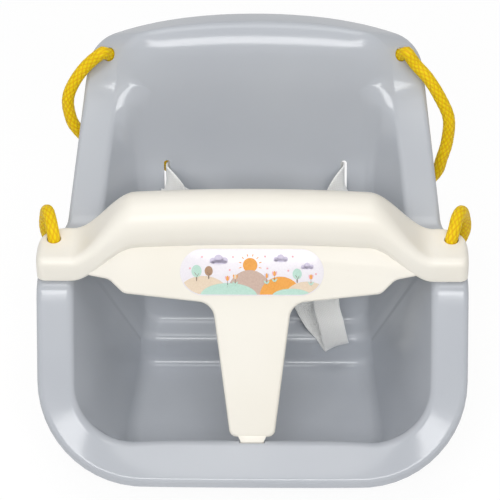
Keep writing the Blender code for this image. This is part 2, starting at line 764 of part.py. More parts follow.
def build_safety_bar(material):
    rings = [beam_ring(x) for x in beam_stations(0.999 * BAR_HALF_LENGTH, True)]
    bar = solid("safety_bar", [rings], material)
    apply_tool(bar, solid("bar_plate", [plate_rings(0, 0, PLATE_DEPTH)]), "UNION")
    inner = [channel_ring(x) for x in beam_stations(BAR_HALF_LENGTH - 3 * WALL, False)]
    apply_tool(bar, solid("bar_channel", [inner]), "DIFFERENCE")
    cell = plate_rings(WALL, WALL, PLATE_DEPTH + WALL)
    apply_tool(bar, solid("bar_plate_cell", [cell]), "DIFFERENCE")
    apply_tool(bar, solid("tube_ribs", tube_ribs()), "UNION")
    apply_tool(bar, solid("leg_ribs", leg_ribs()), "UNION")
    bosses = [rope_bore(side, BOSS_RADIUS, -REST_GAP) for side in (-1, 1)]
    apply_tool(bar, solid("rope_bosses", bosses), "UNION")
    apply_tool(bar, solid("bar_tongue", [tongue_rings()]), "UNION")
    holes = [rope_bore(side, ROPE_HOLE_DIAMETER / 2, 2 * WALL) for side in (-1, 1)]
    apply_tool(bar, solid("bar_rope_holes", holes), "DIFFERENCE")
    return bar


def rope_bore(side, radius, past):
    """A cylinder round the rope where it crosses one end of the bar, reaching past it both ways."""
    centre = Vector((side * FRONT_HOLE_X, FRONT_HOLE_Y, END_BOTTOM))
    return disc_rings(centre, Vector((0, 0, 1)), radius, past, END_HEIGHT + past)


def tube_ribs():
    """Ribs across the hollow of the tube, let into its walls."""
    ribs = []
    for x in TUBE_RIBS:
        front, rear, bottom, top, roll, curl = beam_section(x, WALL / 2)
        low = bottom + TUBE_RIB_LIFT
        corners = [(front, top), (rear, top), (rear, low), (front + curl, low), (front, low + curl / 2)]
        radii = (roll, roll, 0, 0, 0)
        rings = [[Vector((x + half, y, z)) for y, z in corners] for half in (-BAR_RIB / 2, BAR_RIB / 2)]
        ribs.append([rounded_loop(ring, radii, (4, 4, 0, 0, 0)) for ring in rings])
    return ribs


def leg_ribs():
    """Ribs across the hollow behind the leg, let into its walls."""
    ribs = []
    low, high = WALL / 2, PLATE_DEPTH - 2 * WALL / 3
    for index in range(LEG_RIBS):
        down = LEG_RIB_START + index * LEG_RIB_PITCH
        share = (down - PLATE_HEIGHT) / (LEG_LENGTH - PLATE_HEIGHT)
        half = between(LEG_TOP_HALF_WIDTH, LEG_FOOT_HALF_WIDTH, share) - WALL / 2
        corners = ((-half, low), (half, low), (half, high), (-half, high))
        edges = (down - BAR_RIB / 2, down + BAR_RIB / 2)
        ribs.append([[plate_point(x, edge, behind) for x, behind in corners] for edge in edges])
    return ribs


def tongue_rings():
    """The tongue under the leg: it goes straight down, so that it leaves its slot as the bar lifts."""
    half = TONGUE_THICKNESS / 2
    root = plate_point(0, LEG_LENGTH - TONGUE_ROOT, 0)
    edge = plate_point(0, LEG_LENGTH - TONGUE_SET_BACK, TONGUE_SET_BACK)
    rows = [
        (TONGUE_TIP_HALF_WIDTH, TONGUE_Y - half, TONGUE_Y + half, tongue_tip()),
        (TONGUE_TIP_HALF_WIDTH, TONGUE_Y - half, TONGUE_Y + half, FOOT.z + TONGUE_SET_BACK),
        (TONGUE_HALF_WIDTH, edge.y, edge.y + half, edge.z),
        (TONGUE_HALF_WIDTH, root.y + TONGUE_SET_BACK, root.y + TONGUE_THICKNESS, root.z),
    ]
    return [
        [Vector((-x, front, z)), Vector((x, front, z)), Vector((x, rear, z)), Vector((-x, rear, z))]
        for x, front, rear, z in rows
    ]


def build_label(material):
    """The label: a flat outline with round ends that lies on the plate's front face."""
    outline = pill(LABEL_HALF_LENGTH, LABEL_HALF_HEIGHT, 24)
    rings = [
        [plate_point(along, LABEL_DOWN + across, behind) for along, across in outline]
        for behind in (-REST_GAP - LABEL_THICKNESS, -REST_GAP)
    ]
    return solid("bar_label", [rings], material)


# Ropes
COIL_FLOOR = ROPE_DIAMETER / 2 + TIE_THICKNESS + 2 * REST_GAP
CORD_STEPS = 3
END_RUN = 0.010


def coil_point(turn, radius, rise):
    angle = 2 * pi * turn
    return Vector((COIL_X + radius * cos(angle), COIL_Y + radius * sin(angle), COIL_FLOOR + rise))


def coil_points():
    """One unbroken line: spirals in on the floor, climbs a layer as it turns back, spirals out again."""
    inner = COIL_RADIUS - COIL_PITCH * COIL_TURNS
    turns = [step / COIL_POINTS for step in range(COIL_POINTS * COIL_TURNS + 1)]
    points = [coil_point(turn, COIL_RADIUS - COIL_PITCH * turn, 0) for turn in turns[:-1]]
    climb = COIL_POINTS // 2
    for step in range(climb):
        share = step / climb
        draw_in = COIL_PITCH * min(share, 1 - share) / 2
        points.append(coil_point(share / 2, inner - draw_in, smooth_step(share) * COIL_LAYER))
    points += [coil_point(turn + 0.5, inner + COIL_PITCH * turn, COIL_LAYER) for turn in turns]
    lead = (points[0] - points[1]).normalized() * ROPE_DIAMETER
    follow = (points[-1] - points[-2]).normalized() * ROPE_DIAMETER
    return [points[0] + lead, *points, points[-1] + follow]


def least_gap(points, diameter):
    """Least gap between turns of one tube, over points more than two diameters apart along it."""
    lengths = [0.0]
    for start, end in zip(points, points[1:]):
        lengths.append(lengths[-1] + (end - start).length)
    gaps = [
        (points[a] - points[b]).length - diameter
        for a in range(len(points))
        for b in range(a + 1, len(points))
        if lengths[b] - lengths[a] > 2 * diameter + COIL_PITCH / 2
    ]
    return min(gaps)


def front_route(side):
    """Hand-chosen points of the rope from the bar's end, over and down behind it to its coil.

    The right one leans out a little more than the left one.
    """
    top = END_BOTTOM + END_HEIGHT
    lean = 0.001 if side > 0 else 0
    return [
        (FRONT_HOLE_X, FRONT_HOLE_Y, top - CORE_DEPTH),
        (FRONT_HOLE_X, FRONT_HOLE_Y, top + 0.0015),
        (0.1825 + lean, 0.1500, 0.2235),
        (0.1855 + lean, 0.1610, 0.2280),
        (0.1890 + 2 * lean, 0.1730, 0.2255),
        (0.1925 + 2 * lean, 0.1840, 0.2110),
        (0.1945 + 2 * lean, 0.1895, 0.1900),
        (0.1900, 0.1925, 0.1640),
        (0.1820, 0.1960, 0.1250),
        (0.1740, 0.2030, 0.0800),
        (0.1680, 0.2200, 0.0400),
        (0.1655, COIL_Y - 0.0850, 0.0140),
        (COIL_X + COIL_RADIUS, COIL_Y - 0.0450, COIL_FLOOR),
    ]


def rear_route(side):
    """Hand-chosen points of the rope from its coil, up behind the back to the hole in the wing's rim.

    Their y is measured from the seat's rear edge.
    """
    if side > 0:
        return [
            (0.0180, -0.0500, 0.0240),
            (0.0200, -0.0610, 0.0390),
            (0.0350, -0.0660, 0.0690),
            (0.0700, -0.0660, 0.1050),
            (0.1180, -0.0630, 0.1330),
            (0.1540, -0.0660, 0.1600),
            (0.1735, -0.0710, 0.1870),
            (0.1790, -0.0690, 0.2040),
            (0.1835, -0.0650, 0.2220),
            (0.1840, -0.0610, 0.2460),
            (0.1745, -0.0565, 0.2680),
            (0.1630, -0.0500, 0.2850),
            (0.1516, -0.0425, 0.2950),
        ]
    return [
        (0.0175, -0.0500, 0.0240),
        (0.0190, -0.0610, 0.0400),
        (0.0270, -0.0690, 0.0800),
        (0.0410, -0.0700, 0.1250),
        (0.0600, -0.0660, 0.1620),
        (0.0850, -0.0620, 0.1890),
        (0.1200, -0.0590, 0.2020),
        (0.1545, -0.0570, 0.2115),
        (0.1720, -0.0555, 0.2300),
        (0.1775, -0.0530, 0.2450),
        (0.1780, -0.0500, 0.2615),
        (0.1710, -0.0470, 0.2780),
        (0.1590, -0.0420, 0.2930),
    ]


def build_rope(side, material, tie_material):
    """One rope: a core in each hole, a knot under each core, two free stretches and the coil between."""
    name = "left" if side < 0 else "right"
    foot = Vector((side * FRONT_HOLE_X, FRONT_HOLE_Y, ARMREST_HEIGHT - WALL - REST_GAP))
    stub_top = END_BOTTOM + END_HEIGHT - CORE_DEPTH - REST_GAP
    core = [foot, Vector((foot.x, foot.y, stub_top))]
    tube("rope_front_core_" + name, core, ROPE_DIAMETER, material, 4)
    build_knot("knot_front_" + name, foot, Vector((0, 0, 1)), material)

    coil = coil_points()
    print("least gap of the coil to itself, mm:", round(1000 * least_gap(coil, ROPE_DIAMETER), 2))
    tube("rope_coil_" + name, mirrored(coil, side), ROPE_DIAMETER, material, 1)
    build_tie("coil_tie_" + name, side, tie_material)

    heading = (coil[0] - coil[1]).normalized()
    arrive = [coil[0] + heading * END_RUN, coil[0] + heading * REST_GAP]
    route = [Vector(point) for point in front_route(side)] + arrive
    line = mirrored(cord_line(route, CORD_STEPS), side)
    tube("rope_front_" + name, line, ROPE_DIAMETER, material, 2)

    hole, normal = rear_hole_frame()
    heading = (coil[-1] - coil[-2]).normalized()
    leave = [coil[-1] + heading * REST_GAP, coil[-1] + heading * END_RUN]
    arrive = [hole + normal * END_RUN, hole + normal * REAR_CORE_REACH]
    rear_edge = Vector((0, SEAT_DEPTH, 0))
    route = leave + [rear_edge + Vector(point) for point in rear_route(side)] + arrive
    line = mirrored(cord_line(route, CORD_STEPS), side)
    tube("rope_rear_" + name, line, ROPE_DIAMETER, material, 2)
    back = hole - normal * (WALL + REST_GAP)
    core = mirrored([hole + normal * (REAR_CORE_REACH - REST_GAP), back], side)
    tube("rope_rear_core_" + name, core, ROPE_DIAMETER, material, 4)
    build_knot("knot_rear_" + name, core[1], (core[0] - core[1]).normalized(), material)


def build_knot(name, seat, axis, material):
    """The stopper knot at a rope's end, as the round body that it fills, just under its seat."""
    turn = axis.to_track_quat("Z", "Y")
    rings = []
    for row in range(1, 8):
        angle = pi * row / 8
        depth = KNOT_HEIGHT / 2 * (cos(angle) - cos(pi / 8)) - REST_GAP
        rings.append(circle(seat, turn, KNOT_RADIUS * sin(angle), depth, 12))
    return solid(name, [rings], material)


def build_tie(name, side, material):
    """A flat tie round the four strands of a coil, where they lie two over two."""
    quarter = 0.75
    inner = COIL_RADIUS - COIL_PITCH * (COIL_TURNS - 1 + quarter) - ROPE_DIAMETER / 2 - TIE_PLAY
    outer = COIL_RADIUS - COIL_PITCH * quarter + ROPE_DIAMETER / 2 + TIE_PLAY
    low = COIL_FLOOR - ROPE_DIAMETER / 2 - REST_GAP
    high = COIL_FLOOR + COIL_LAYER + ROPE_DIAMETER / 2 + REST_GAP
    loops = []
    for grow in (0, TIE_THICKNESS):
        corners = [
            (COIL_Y - inner + grow, low - grow),
            (COIL_Y - inner + grow, high + grow),
            (COIL_Y - outer - grow, high + grow),
            (COIL_Y - outer - grow, low - grow),
        ]
        points = [Vector((side * COIL_X, y, z)) for y, z in corners]
        loops.append(rounded_loop(points, [TIE_CORNER + grow] * 4, [3] * 4))
    half = Vector((TIE_WIDTH / 2, 0, 0))
    bm = bmesh.new()
    rows = [
        [bm.verts.new(point + shift) for point in loop]
        for loop, shift in ((loops[0], -half), (loops[1], -half), (loops[1], half), (loops[0], half))
    ]
    join_rings(bm, rows + rows[:1])
    return new_object(name, mesh_of(name, bm), material)


# Belt and buckle
def ribbon(name, route, widths, material, steps=3):
    """A strap along a smooth curve through the route, with its width along the widths' directions."""
    line = cord_line(route, steps)
    sides = cord_line(widths, steps)
    rings = []
    for index, point in enumerate(line):
        ahead = line[min(index + 1, len(line) - 1)] - line[max(index - 1, 0)]
        ahead.normalize()
        across = (sides[index] - ahead * sides[index].dot(ahead)).normalized()
        face = ahead.cross(across)
        half = across * BELT_WIDTH / 2
        thick = face * BELT_THICKNESS / 2
        corners = (-half - thick, half - thick, half + thick, -half + thick)
        rings.append([point + corner for corner in corners])
    return solid(name, [rings], material)


PANEL_UP = Vector((0, sin(BACK_LEAN), cos(BACK_LEAN)))
PANEL_OUT = Vector((0, -cos(BACK_LEAN), sin(BACK_LEAN)))


def strap_frame(heading, across):
    """The turn that carries x to a strap's heading and y to the direction of its width."""
    return Matrix((heading, across, heading.cross(across))).transposed().to_quaternion()


def slot_run(x, heading, across, length):
    """Points and widths of a strap from inside its slot to where it has turned to heading and across."""
    first = strap_frame(PANEL_OUT, PANEL_UP)
    last = strap_frame(heading, across)
    inside = back_point(x, BELT_SLOT_HEIGHT, -WALL / 2 + REST_GAP)
    points = [inside, inside + PANEL_OUT * SLOT_LEAD]
    widths = [PANEL_UP, PANEL_UP]
    for step in range(SLOT_TURN_STEPS):
        turn = first.slerp(last, (step + 0.5) / SLOT_TURN_STEPS)
        points.append(points[-1] + turn @ Vector((length / SLOT_TURN_STEPS, 0, 0)))
        widths.append(first.slerp(last, (step + 1) / SLOT_TURN_STEPS) @ Vector((0, 1, 0)))
    return points, widths


def build_belts(material):
    """The belt: a left end, a right end with its slack over the ledge, and the run behind the back."""
    middle = BUCKLE_THICKNESS / 2
    socket_end = buckle_point(-SOCKET_LENGTH - REST_GAP, 0, middle)
    tongue_end = buckle_point(BASE_LENGTH + REST_GAP, 0, middle)
    along = buckle_point(1, 0, 0) - buckle_point(0, 0, 0)
    across = buckle_point(0, 1, 0) - buckle_point(0, 0, 0)

    x, height = BELT_SLOT_X, BELT_SLOT_HEIGHT
    left, widths = slot_run(-x, along, across, LEFT_TURN_LENGTH)
    arrival = socket_end - along * BELT_LEAD
    left += [left[-1].lerp(arrival, share) for share in (0.2, 0.5, 1.0)] + [socket_end]
    ribbon("belt_left", left, widths + [across] * 4, material)

    ledge = Vector((x, LEDGE_START, LEDGE_HEIGHT))
    right, widths = slot_run(x, -PANEL_UP, Vector((-1, 0, 0)), RIGHT_TURN_LENGTH)
    right += [
        back_point(x - 0.007, height - 0.026, 0.0205),
        back_point(x - 0.009, height - 0.042, 0.0195),
        back_point(x - 0.012, height - 0.068, 0.018),
        ledge + Vector((-0.016, 0.008, 0.044)),
        ledge + Vector((-0.011, -0.006, 0.024)),
        ledge + Vector((-0.007, -0.011, 0.006)),
        ledge + Vector((-0.006, -0.009, -0.001)),
        ledge + Vector((-0.009, -0.003, -0.0015)),
        ledge + Vector((-0.015, 0.005, 0.0025)),
        ledge + Vector((-0.025, 0.018, 0.0045)),
        back_point(0.046, 0.064, 0.006),
        back_point(0.030, 0.080, 0.005),
        tongue_end + along * BELT_LEAD,
        tongue_end,
    ]
    hanging = [Vector((-0.98, 0.00, -0.05))] * 3 + [Vector((-0.96, -0.05, -0.27))] * 2
    fold = [Vector((-0.93, -0.02, -0.36))] * 3
    flat = [Vector((-0.86, -0.45, -0.20)), Vector((-0.79, -0.60, -0.08))]
    widths += hanging + fold + flat + [-across] * 4
    ribbon("belt_right", right, widths, material)

    depth = -WALL - BELT_THICKNESS / 2 - 2 * REST_GAP
    half_back = [
        (x, -WALL / 2 - REST_GAP),
        (x, -WALL - REST_GAP),
        (x - 0.0018, depth - 0.0012),
        (x - 0.006, depth - 0.0008),
        (x - 0.015, depth),
        (x - 0.050, depth),
    ]
    back = [back_point(-across, height, off) for across, off in half_back]
    back += [back_point(across, height, off) for across, off in half_back[::-1]]
    ribbon("belt_back", back, [PANEL_UP] * len(back), material)


def buckle_point(along, across, off):
    """A point of the buckle: along its axis from the joint, across it, off the back panel."""
    slope_down = Vector((cos(BUCKLE_SLOPE), 0, 0)) - PANEL_UP * sin(BUCKLE_SLOPE)
    slope_up = Vector((sin(BUCKLE_SLOPE), 0, 0)) + PANEL_UP * cos(BUCKLE_SLOPE)
    base = back_point(BUCKLE_X, BUCKLE_HEIGHT, BUCKLE_STANDOFF)
    return base + slope_down * along + slope_up * across + PANEL_OUT * off


def buckle_block(low, high):
    """The two end rings of a block in the buckle's own directions."""
    corners = ((low[0], low[1]), (high[0], low[1]), (high[0], high[1]), (low[0], high[1]))
    return [[buckle_point(along, across, off) for along, across in corners] for off in (low[2], high[2])]


def rounded_block(low, high, radius):
    """A block in the buckle's directions, its upright edges rounded."""
    corners = [(low[0], low[1]), (high[0], low[1]), (high[0], high[1]), (low[0], high[1])]
    loop = rounded_loop([Vector((x, y, 0)) for x, y in corners], [radius] * 4, [4] * 4)
    return [[buckle_point(point.x, point.y, off) for point in loop] for off in (low[2], high[2])]


def belt_slot_block(start):
    """A cut right through the buckle for the belt, from start along its axis."""
    half = BELT_WIDTH / 2 + BUCKLE_BELT_PLAY
    low = (start, -half, -CUT_PAST)
    return buckle_block(low, (start + BUCKLE_SLOT, half, BUCKLE_THICKNESS + CUT_PAST))


def build_socket(material):
    """The half of the buckle with the spring windows, open towards the tongue."""
    half = BUCKLE_WIDTH / 2
    body = rounded_block((-SOCKET_LENGTH, -half, 0), (0, half, BUCKLE_THICKNESS), SOCKET_CORNER)
    socket = solid("buckle_socket", [body], material)
    slot_start = -SOCKET_LENGTH + BUCKLE_BAR
    low = (slot_start + BUCKLE_SLOT + SOCKET_WEB, BUCKLE_WALL - half, BUCKLE_WALL)
    high = (CUT_PAST, half - BUCKLE_WALL, BUCKLE_THICKNESS - BUCKLE_WALL)
    hollow = [buckle_block(low, high), belt_slot_block(slot_start)]
    apply_tool(socket, solid("socket_hollow", hollow), "DIFFERENCE")
    middle = BUCKLE_THICKNESS / 2
    windows = []
    for start in (-half - CUT_PAST, half - 2 * BUCKLE_WALL):
        low = (-WINDOW_FAR, start, middle - WINDOW_HEIGHT / 2)
        high = (-WINDOW_NEAR, start + 2 * BUCKLE_WALL + CUT_PAST, middle + WINDOW_HEIGHT / 2)
        windows.append(buckle_block(low, high))
    apply_tool(socket, solid("socket_windows", windows), "DIFFERENCE")


def build_tongue(material):
    """The half of the buckle that pulls out: a base with two slots for the belt, two prongs and a keel."""
    half = BUCKLE_WIDTH / 2
    low = (BUCKLE_THICKNESS - BASE_THICKNESS) / 2
    body = rounded_block((REST_GAP, -half, low), (BASE_LENGTH, half, low + BASE_THICKNESS), BASE_CORNER)
    tongue = solid("buckle_tongue", [body], material)
    low = BUCKLE_WALL + PRONG_PLAY
    high = BUCKLE_THICKNESS - low
    reach = half - low
    prongs = [
        rounded_block((-PRONG_LENGTH, near, low), (BASE_CORNER, near + PRONG_WIDTH, high), PRONG_CORNER)
        for near in (-reach, reach - PRONG_WIDTH)
    ]
    keel = KEEL_WIDTH / 2
    prongs.append(rounded_block((-KEEL_LENGTH, -keel, low), (BASE_CORNER, keel, high), KEEL_CORNER))
    apply_tool(tongue, solid("tongue_prongs", prongs), "UNION")
    starts = (BASE_SLOT_START, BASE_SLOT_START + BUCKLE_SLOT + BASE_BAR)
    slots = [belt_slot_block(start) for start in starts]
    apply_tool(tongue, solid("tongue_slots", slots), "DIFFERENCE")


def clear_scene():
    for piece in list(bpy.data.objects):
        bpy.data.objects.remove(piece, do_unlink=True)


def move_origin_to_footprint():
    """Puts the origin under the middle of the seat, on the floor."""
    for piece in bpy.data.objects:
        piece.location.y -= SEAT_DEPTH / 2


def main():
    clear_scene()
    shell_grey = make_material("shell_grey", (182, 187, 196), 0.28)
    bar_cream = make_material("bar_cream", (247, 243, 233), 0.38)
    label_white = make_material("label_white", (244, 240, 244), 0.32)
    rope_yellow = make_material("rope_yellow", (248, 214, 40), 0.75)
    belt_white = make_material("belt_white", (222, 222, 218), 0.80)
    buckle_white = make_material("buckle_white", (232, 232, 228), 0.40)
    tie_dark = make_material("tie_black", (40, 40, 42), 0.80)

    build_shell(shell_grey)
    build_safety_bar(bar_cream)
    build_label(label_white)
    for side in (-1, 1):
        build_rope(side, rope_yellow, tie_dark)
    build_belts(belt_white)
    build_socket(buckle_white)
    build_tongue(buckle_white)
    move_origin_to_footprint()


main()
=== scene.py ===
"""Looks of a toddler swing seat: moulded shell, safety bar, braided ropes, webbing belt and buckle.

Sizes are in metres, unless a name or a comment gives another unit. The shapes are worked out with y
measured back from the seat's front edge, as the solids are, and every finished mesh is then moved so
that the origin lies under the seat's middle.
"""

from __future__ import annotations

import logging
from dataclasses import dataclass, field, fields
from enum import Enum
from math import cos, floor, pi, radians, sin, sqrt, tan
from typing import Any, Callable, Iterable, Mapping, Sequence

import bmesh
import bpy
import numpy as np
from mathutils import Matrix, Quaternion, Vector

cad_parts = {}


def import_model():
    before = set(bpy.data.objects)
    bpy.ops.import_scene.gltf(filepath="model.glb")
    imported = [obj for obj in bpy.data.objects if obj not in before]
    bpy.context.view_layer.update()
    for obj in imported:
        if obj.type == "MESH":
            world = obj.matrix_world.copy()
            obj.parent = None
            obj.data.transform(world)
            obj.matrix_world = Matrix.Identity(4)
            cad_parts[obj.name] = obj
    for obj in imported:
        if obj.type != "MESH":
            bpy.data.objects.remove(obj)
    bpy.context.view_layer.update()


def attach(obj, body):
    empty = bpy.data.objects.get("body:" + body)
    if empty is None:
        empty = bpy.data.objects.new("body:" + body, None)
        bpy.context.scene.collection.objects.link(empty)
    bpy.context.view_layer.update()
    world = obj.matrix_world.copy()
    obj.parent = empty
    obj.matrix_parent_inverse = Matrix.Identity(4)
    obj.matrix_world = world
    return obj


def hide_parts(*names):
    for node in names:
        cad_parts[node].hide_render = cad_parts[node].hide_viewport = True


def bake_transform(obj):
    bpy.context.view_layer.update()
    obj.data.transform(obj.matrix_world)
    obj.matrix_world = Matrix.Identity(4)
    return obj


LOG = logging.getLogger("swing_seat")
Points = list[Vector]
Rings = Sequence[Points]
Outline = list[tuple[float, float]]
Piece = bpy.types.Object
Mesh = bpy.types.Mesh
Material = bpy.types.Material
Finishes = Mapping[str, Material]
Tree = bpy.types.NodeTree
Socket = bpy.types.NodeSocket

SEAT_DEPTH = 0.349
TO_FOOTPRINT = Matrix.Translation((0.0, -SEAT_DEPTH / 2, 0.0))
REST_GAP = 0.0003
WALL = 0.003
UP = Vector((0.0, 0.0, 1.0))


class Side(Enum):
    """The two sides of the seat, as seen from the front."""

    LEFT = -1
    RIGHT = 1

    @property
    def word(self) -> str:
        """The side's name, as the solids' names end."""
        return self.name.lower()


class Body(Enum):
    """The bodies of the solids that pieces ride on."""

    SEAT = "seat"
    BAR = "bar"
    TONGUE = "tongue"


# Lines and outlines
def smooth_step(share: float) -> float:
    """Eases a share of 0 to 1 in and out."""
    share = max(0.0, min(1.0, share))
    return share * share * (3 - 2 * share)


def between(start: float, end: float, share: float) -> float:
    """The value at a share of the way from start to end."""
    return start + share * (end - start)


def corner_arc(before: Vector, corner: Vector, after: Vector, radius: float, steps: int) -> Points:
    """Rounds one corner of a line.

    Args:
        before: The point that the line comes from.
        corner: The corner itself.
        after: The point that the line goes on to.
        radius: Radius of the arc.
        steps: Spans along the arc.

    Returns:
        The arc's points, from the first leg to the second.
    """
    back = (before - corner).normalized()
    ahead = (after - corner).normalized()
    angle = back.angle(ahead)
    if steps == 0 or radius <= 0 or angle > pi - 0.01:
        return [corner.copy() for _ in range(steps + 1)]
    reach = min(radius / tan(angle / 2), 0.9 * (before - corner).length, 0.9 * (after - corner).length)
    radius = reach * tan(angle / 2)
    middle = corner + (back + ahead).normalized() * (radius / sin(angle / 2))
    start = corner + back * reach - middle
    end = corner + ahead * reach - middle
    sweep = start.angle(end)
    return [
        middle + (start * sin(sweep * (1 - step / steps)) + end * sin(sweep * step / steps)) / sin(sweep)
        for step in range(steps + 1)
    ]


def bezier(start: Vector, control: Vector, end: Vector, steps: int) -> Points:
    """Points after start on the curve that leaves it towards control and ends level with control."""
    shares = [step / steps for step in range(1, steps + 1)]
    return [start * (1 - t) ** 2 + control * (2 * t * (1 - t)) + end * t**2 for t in shares]


def straight(start: Vector, end: Vector, steps: int) -> Points:
    """Points after start on the straight run to end."""
    return [start.lerp(end, step / steps) for step in range(1, steps + 1)]


def rounded_loop(corners: Points, radii: Sequence[float], steps: Sequence[int]) -> Points:
    """A closed outline with its corners rounded.

    Args:
        corners: The sharp corners.
        radii: Radius of each.
        steps: Spans of each one's arc.

    Returns:
        The outline's points.
    """
    points: Points = []
    for index, corner in enumerate(corners):
        after = corners[(index + 1) % len(corners)]
        points += corner_arc(corners[index - 1], corner, after, radii[index], steps[index])
    return points


def smooth_curve(route: Points, steps: int) -> Points:
    """A smooth curve through points.

    Args:
        route: The points.
        steps: Spans between two of them.

    Returns:
        Points of the curve.
    """
    knots = [route[0] * 2 - route[1], *route, route[-1] * 2 - route[-2]]
    points = [route[0].copy()]
    for index in range(1, len(knots) - 2):
        a, b, c, d = knots[index - 1 : index + 3]
        leave = (c - a) / 2
        arrive = (d - b) / 2
        for step in range(1, steps + 1):
            t = step / steps
            points.append(
                b * (2 * t**3 - 3 * t**2 + 1)
                + leave * (t**3 - 2 * t**2 + t)
                + c * (3 * t**2 - 2 * t**3)
                + arrive * (t**3 - t**2)
            )
    return points


def cord_line(route: Points, steps: int) -> Points:
    """Points of a cord or strap: a smooth curve through its route, its first and last spans straight."""
    line = smooth_curve(route, steps)
    return [line[0], *line[steps:-steps], line[-1]]


def even_points(line: Points, pitch: float) -> Points:
    """Sets out the points of a line evenly.

    Args:
        line: The line.
        pitch: About how far apart they are to be.

    Returns:
        Points of the same line.
    """
    places = np.array([tuple(point) for point in line])
    spans = np.linalg.norm(np.diff(places, axis=0), axis=1)
    along = np.concatenate([[0.0], np.cumsum(spans)])
    count = max(2, int(round(along[-1] / pitch)) + 1)
    wanted = np.linspace(0.0, along[-1], count)
    return [Vector(tuple(np.interp(place, along, places[:, axis]) for axis in range(3))) for place in wanted]


def line_length(line: Points) -> float:
    """Length of a line through its points."""
    return sum((end - start).length for start, end in zip(line, line[1:]))


def mirrored(points: Iterable[Sequence[float]], side: Side) -> Points:
    """Points given for the right side, on the side that is asked for."""
    return [Vector((point[0] * side.value, point[1], point[2])) for point in points]


def pill(half_length: float, half_width: float, sides: int) -> Outline:
    """An outline with round ends.

    Args:
        half_length: From its middle to an end.
        half_width: Half its width.
        sides: How many points it has.

    Returns:
        How far along it and how far across it each point lies.
    """
    run = half_length - half_width
    outline = []
    for step in range(sides):
        angle = 2 * pi * (step + 0.5) / sides
        end = run if cos(angle) > 0 else -run
        outline.append((half_width * cos(angle) + end, half_width * sin(angle)))
    return outline


def inset_outline(corners: Points, inset: float) -> Points:
    """Draws in a closed flat outline.

    Args:
        corners: Its corners in x and y.
        inset: How far every edge moves inwards.

    Returns:
        The new corners.
    """
    following = corners[1:] + corners[:1]
    area = sum(start.x * end.y - start.y * end.x for start, end in zip(corners, following))
    turn = 1 if area > 0 else -1
    edges = []
    for start, end in zip(corners, following):
        along = end - start
        edges.append((start + Vector((-along.y, along.x, 0.0)).normalized() * inset * turn, along))
    moved = []
    for (start, along), (next_start, next_along) in zip(edges[-1:] + edges[:-1], edges):
        gap = next_start - start
        crossing = along.cross(next_along).z
        moved.append(start + along * (gap.cross(next_along).z / crossing))
    return moved


# Meshes
def link(name: str, data: bpy.types.ID) -> Piece:
    """Puts a new object into the scene.

    Args:
        name: Name of the object.
        data: Its mesh, light or camera.

    Returns:
        The new object.
    """
    made = bpy.data.objects.new(name, data)
    bpy.context.scene.collection.objects.link(made)
    return made


def shade(mesh: Mesh, sharp_from: float) -> None:
    """Makes a mesh smooth but for edges sharper than an angle in degrees."""
    mesh.shade_smooth()
    mesh.set_sharp_from_angle(angle=radians(sharp_from))


def add_piece(name: str, mesh: Mesh, materials: Sequence[Material]) -> Piece:
    """Links a mesh as a piece, moved to the frame's origin.

    Args:
        name: Name of the piece.
        mesh: Its mesh, with y measured from the seat's front edge.
        materials: What fills its material slots.

    Returns:
        The new object.
    """
    mesh.transform(TO_FOOTPRINT)
    for material in materials:
        mesh.materials.append(material)
    return link(name, mesh)


def finish_mesh(name: str, bm: bmesh.types.BMesh, smooth_angle: float = 35.0) -> Mesh:
    """Turns a bmesh into a mesh.

    Args:
        name: Name of the mesh.
        bm: The bmesh, which is freed.
        smooth_angle: Edges sharper than this many degrees aren't smooth.

    Returns:
        The mesh.
    """
    bmesh.ops.recalc_face_normals(bm, faces=bm.faces)
    mesh = bpy.data.meshes.new(name)
    bm.to_mesh(mesh)
    bm.free()
    shade(mesh, smooth_angle)
    return mesh


def bridge(bm: bmesh.types.BMesh, rows: Sequence[list[bmesh.types.BMVert]]) -> None:
    """Adds the faces between rows of vertices that each run round in a ring.

    Args:
        bm: The bmesh that has the vertices.
        rows: The rows, of as many vertices each.
    """
    for row, following in zip(rows, rows[1:]):
        for index in range(len(row)):
            after = (index + 1) % len(row)
            bm.faces.new((row[index], row[after], following[after], following[index]))


def loft(bm: bmesh.types.BMesh, rings: Rings) -> None:
    """Adds a skin through rings with its two ends closed.

    Args:
        bm: The bmesh that takes it.
        rings: The rings, of as many points each.
    """
    rows = [[bm.verts.new(point) for point in ring] for ring in rings]
    bridge(bm, rows)
    bm.faces.new(rows[0])
    bm.faces.new(rows[-1])


def lofted(name: str, bodies: Iterable[Rings], smooth_angle: float = 35.0) -> Mesh:
    """A mesh of closed lofts.

    Args:
        name: Name of the mesh.
        bodies: The rings of each loft.
        smooth_angle: Edges sharper than this many degrees aren't smooth.

    Returns:
        The mesh.
    """
    bm = bmesh.new()
    for rings in bodies:
        loft(bm, rings)
    return finish_mesh(name, bm, smooth_angle)


def rectangle(low: Sequence[float], high: Sequence[float]) -> Outline:
    """The corners of a rectangle between its lowest and its highest corner."""
    return [(low[0], low[1]), (high[0], low[1]), (high[0], high[1]), (low[0], high[1])]


def box_rings(low: Sequence[float], high: Sequence[float]) -> list[Points]:
    """The two end rings of an upright box."""
    return [[Vector((x, y, z)) for x, y in rectangle(low, high)] for z in (low[2], high[2])]


def circle(sides: int) -> Outline:
    """Points of a circle of radius 1."""
    angles = [2 * pi * step / sides for step in range(sides)]
    return [(cos(angle), sin(angle)) for angle in angles]


def disc(centre: Vector, axis: Vector, radius: float, rise: float, sides: int) -> Points:
    """A circle about an axis, rise along it from centre."""
    turn = axis.to_track_quat("Z", "Y")
    return [centre + turn @ Vector((radius * x, radius * y, rise)) for x, y in circle(sides)]


